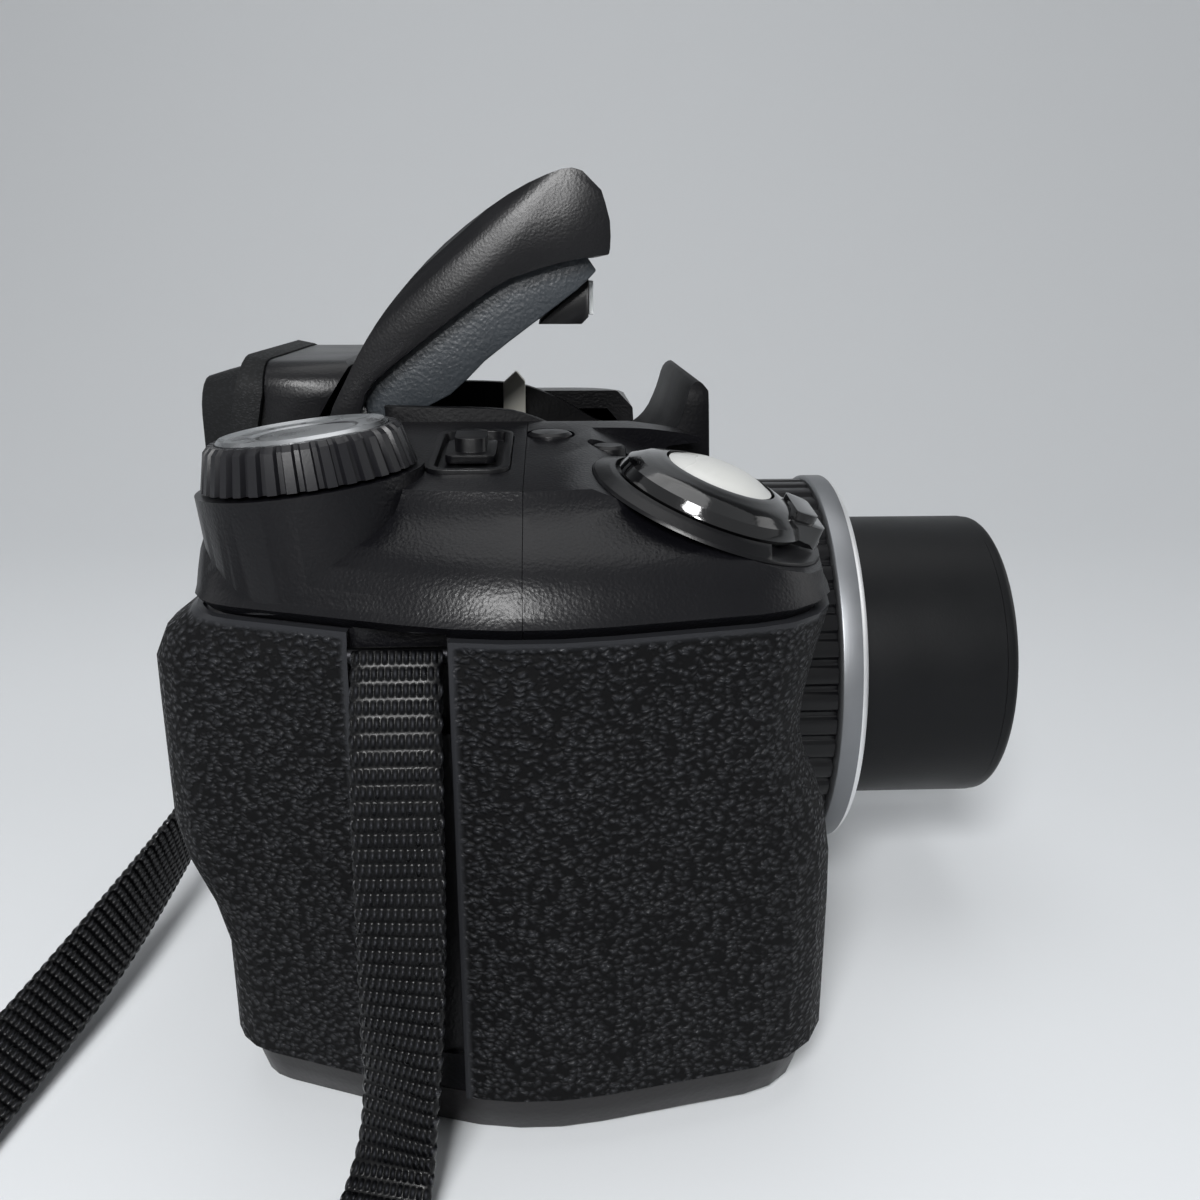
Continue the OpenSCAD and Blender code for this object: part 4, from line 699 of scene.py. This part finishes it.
class CAMERA_OT_viewfinder(bpy.types.Operator):
    """Finishes the viewfinder and its eyecup"""
    bl_idname = "bridge_camera.viewfinder"
    bl_label = "Viewfinder"

    def execute(self, context):
        dress("evf_housing", finish("deck ABS"), bevel_mm=0.3)
        dress("eyecup", finish("eyecup rubber"), bevel_mm=0.4)
        dress("evf_display eyepiece_lens", finish("lens glass"))
        dress("diopter_wheel", finish("smooth ABS"))
        return {"FINISHED"}


class CAMERA_OT_deck(bpy.types.Operator):
    """Finishes the controls on the deck"""
    bl_idname = "bridge_camera.deck"
    bl_label = "Deck controls"

    def execute(self, context):
        dress("mode_dial", finish("dial ABS"), bevel_mm=0.12)
        dress("dial_disc", finish("dial aluminium"), angle_deg=25)
        dress("zoom_lever", finish("gloss ABS"), angle_deg=28, bevel_mm=0.25)
        dress("shutter_button", finish("silver paint"), angle_deg=28)
        dress("shutter_seat power_bezel power_slider burst_button exposure_button flash_button",
              finish("smooth ABS"), bevel_mm=0.15)
        return {"FINISHED"}


class CAMERA_OT_rear(bpy.types.Operator):
    """Finishes the display and the rear and side controls"""
    bl_idname = "bridge_camera.rear"
    bl_label = "Rear and sides"

    def execute(self, context):
        dress("lcd_window", finish("screen acrylic"), bevel_mm=0.2)
        dress("menu_pad ok_button playback_button display_button", finish("smooth ABS"), bevel_mm=0.15)
        dress("terminal_door", finish("eyecup rubber"), bevel_mm=0.3)
        dress("battery_door door_catch", finish("base ABS"), bevel_mm=0.2)
        dress("focus_lamp", finish("red acrylic"), bevel_mm=0.2)
        return {"FINISHED"}


class CAMERA_OT_works(bpy.types.Operator):
    """Finishes the pieces inside"""
    bl_idname = "bridge_camera.works"
    bl_label = "Inner works"

    def execute(self, context):
        dress("main_board image_sensor", finish("circuit board"), INNER_ANGLE)
        dress("battery_cells", finish("cell wrap"), INNER_ANGLE)
        dress("battery_contacts zoom_motor terminal_sockets door_hinge_pin", finish("steel"), INNER_ANGLE)
        dress("lcd_panel flash_capacitor", finish("smooth ABS"), INNER_ANGLE)
        return {"FINISHED"}


class CAMERA_PT_panel(bpy.types.Panel):
    """Lists the steps that dress the camera"""
    bl_idname = "CAMERA_PT_bridge"
    bl_label = "Bridge camera"
    bl_space_type = "VIEW_3D"
    bl_region_type = "UI"
    bl_category = "Bridge camera"

    def draw(self, context):
        for step in STEPS:
            self.layout.operator(step.bl_idname)


STEPS = (CAMERA_OT_stage, CAMERA_OT_strap, CAMERA_OT_covers, CAMERA_OT_rubber, CAMERA_OT_lens, CAMERA_OT_flash,
         CAMERA_OT_viewfinder, CAMERA_OT_deck, CAMERA_OT_rear, CAMERA_OT_works)
CLASSES = (StageSizes, StrapSizes) + STEPS + (CAMERA_PT_panel,)


def register():
    for cls in CLASSES:
        bpy.utils.register_class(cls)
    bpy.types.Scene.stage_sizes = bpy.props.PointerProperty(type=StageSizes)
    bpy.types.Scene.strap_sizes = bpy.props.PointerProperty(type=StrapSizes)


def unregister():
    del bpy.types.Scene.stage_sizes
    del bpy.types.Scene.strap_sizes
    for cls in reversed(CLASSES):
        bpy.utils.unregister_class(cls)


def main():
    register()
    bpy.ops.bridge_camera.stage()
    bpy.ops.bridge_camera.strap()
    bpy.ops.bridge_camera.covers()
    bpy.ops.bridge_camera.rubber()
    bpy.ops.bridge_camera.lens()
    bpy.ops.bridge_camera.flash()
    bpy.ops.bridge_camera.viewfinder()
    bpy.ops.bridge_camera.deck()
    bpy.ops.bridge_camera.rear()
    bpy.ops.bridge_camera.works()


if __name__ == "__main__":
    main()
